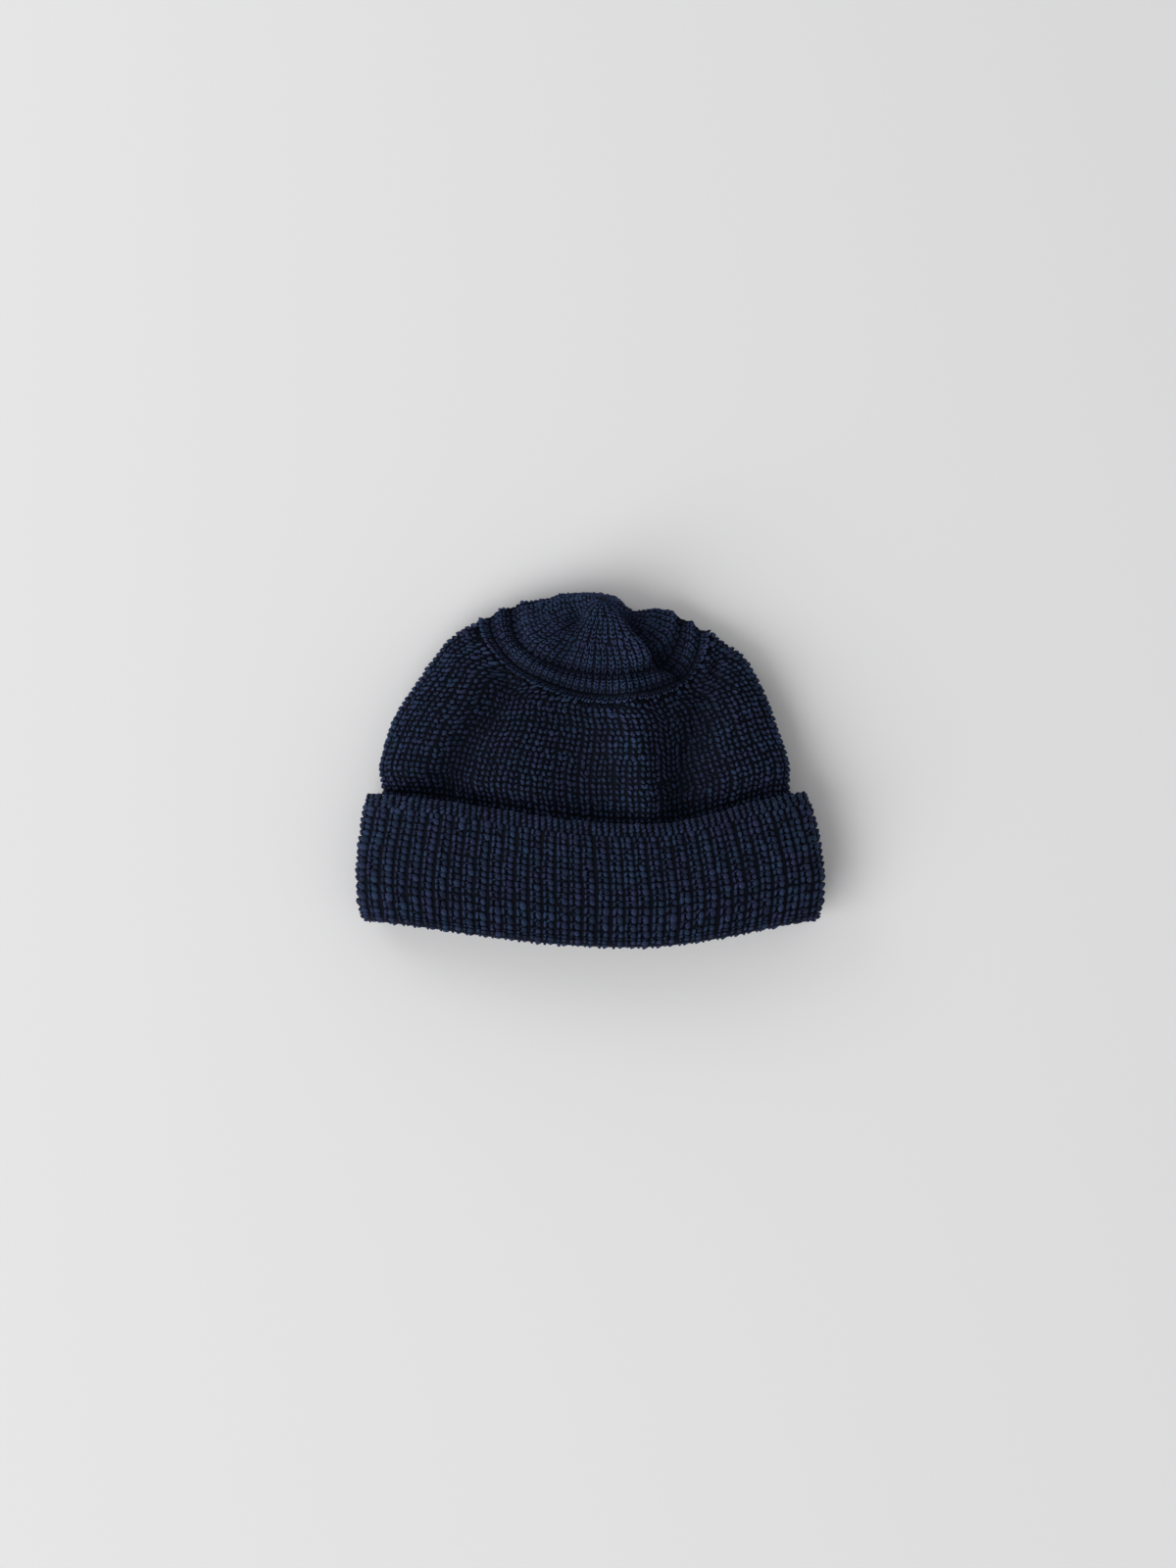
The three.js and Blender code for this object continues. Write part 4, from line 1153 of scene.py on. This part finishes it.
class BEANIE_OT_lay_studio(bpy.types.Operator):
    """Lays the pale floor, and sets the soft lights and the camera above the hat"""

    bl_idname = "beanie.lay_studio"
    bl_label = "Lay studio"
    bl_options = {"REGISTER", "UNDO"}

    def execute(self, context):
        scene = context.scene
        studio, colours = scene.beanie_studio, scene.beanie_colours
        self.lay_floor(scene, colours)
        self.hang_lights(scene, studio)
        self.set_camera(scene, studio)
        scene.view_settings.view_transform = "Standard"
        scene.view_settings.look = "None"
        return {"FINISHED"}

    def lay_floor(self, scene, colours):
        """A wide sheet of pale matt card."""
        mesh = bpy.data.meshes.new("floor")
        bm = bmesh.new()
        bmesh.ops.create_grid(bm, x_segments=1, y_segments=1, size=FLOOR_SIZE / 2)
        bm.to_mesh(mesh)
        bm.free()
        floor = bpy.data.objects.new("floor", mesh)
        scene.collection.objects.link(floor)
        material = bpy.data.materials.new("matt_card")
        material.use_nodes = True
        surface = material.node_tree.nodes["Principled BSDF"]
        surface.inputs["Base Color"].default_value = (*colours.floor, 1)
        surface.inputs["Roughness"].default_value = 0.9
        surface.inputs["Specular IOR Level"].default_value = 0.1
        mesh.materials.append(material)

    def hang_lights(self, scene, studio):
        """A large soft light at the lower left, a weak one above it and even light all round."""
        for name, place, size, power in (
            ("key_light", KEY_PLACE, KEY_SIZE, studio.key_power),
            ("fill_light", FILL_PLACE, FILL_SIZE, studio.fill_power),
        ):
            light = bpy.data.lights.new(name, "AREA")
            light.shape = "DISK"
            light.size = size
            light.energy = power
            lamp = bpy.data.objects.new(name, light)
            lamp.location = place
            lamp.rotation_euler = (-place).to_track_quat("-Z", "Y").to_euler()
            scene.collection.objects.link(lamp)
        world = bpy.data.worlds.new("studio")
        world.use_nodes = True
        world.node_tree.nodes["Background"].inputs["Color"].default_value = (1, 1, 1, 1)
        world.node_tree.nodes["Background"].inputs["Strength"].default_value = studio.dome_strength
        scene.world = world

    def set_camera(self, scene, studio):
        """Straight above the hat, as the photograph was taken."""
        camera = bpy.data.cameras.new("camera")
        camera.lens = studio.lens
        camera.sensor_width = 36
        height = studio.view_width * FRAME_RATIO * studio.lens / camera.sensor_width
        eye = bpy.data.objects.new("camera", camera)
        eye.location = (CAMERA_AT.x, CAMERA_AT.y, OUTLINE_HEIGHT + height)
        scene.collection.objects.link(eye)
        scene.camera = eye


class BEANIE_PT_panel(bpy.types.Panel):
    """The beanie's sizes and steps"""

    bl_idname = "BEANIE_PT_panel"
    bl_label = "Fisherman beanie"
    bl_space_type = "VIEW_3D"
    bl_region_type = "UI"
    bl_category = "Beanie"

    def draw(self, context):
        """Lists the settings and the operators."""
        layout = self.layout
        for name in SETTINGS:
            group = getattr(context.scene, name)
            box = layout.box()
            for key in group.__annotations__:
                box.prop(group, key)
        for operator in OPERATORS:
            layout.operator(operator.bl_idname)


SETTINGS = {
    "beanie_sizes": BeanieSizes,
    "beanie_knit": BeanieKnit,
    "beanie_colours": BeanieColours,
    "beanie_studio": BeanieStudio,
}
OPERATORS = (
    BEANIE_OT_knit_cuff,
    BEANIE_OT_knit_side_wall,
    BEANIE_OT_knit_welt,
    BEANIE_OT_knit_crown,
    BEANIE_OT_lay_studio,
)


def register():
    """Makes the settings, the operators and the panel known to Blender."""
    for cls in (*SETTINGS.values(), *OPERATORS, BEANIE_PT_panel):
        bpy.utils.register_class(cls)
    for name, cls in SETTINGS.items():
        setattr(bpy.types.Scene, name, bpy.props.PointerProperty(type=cls))


def unregister():
    """Takes them away again."""
    for name in SETTINGS:
        delattr(bpy.types.Scene, name)
    for cls in (BEANIE_PT_panel, *reversed(OPERATORS), *reversed(SETTINGS.values())):
        bpy.utils.unregister_class(cls)


def main():
    """Builds the hat and the studio."""
    register()
    bpy.ops.beanie.knit_cuff()
    bpy.ops.beanie.knit_side_wall()
    bpy.ops.beanie.knit_welt()
    bpy.ops.beanie.knit_crown()
    bpy.ops.beanie.lay_studio()


if __name__ == "__main__":
    main()
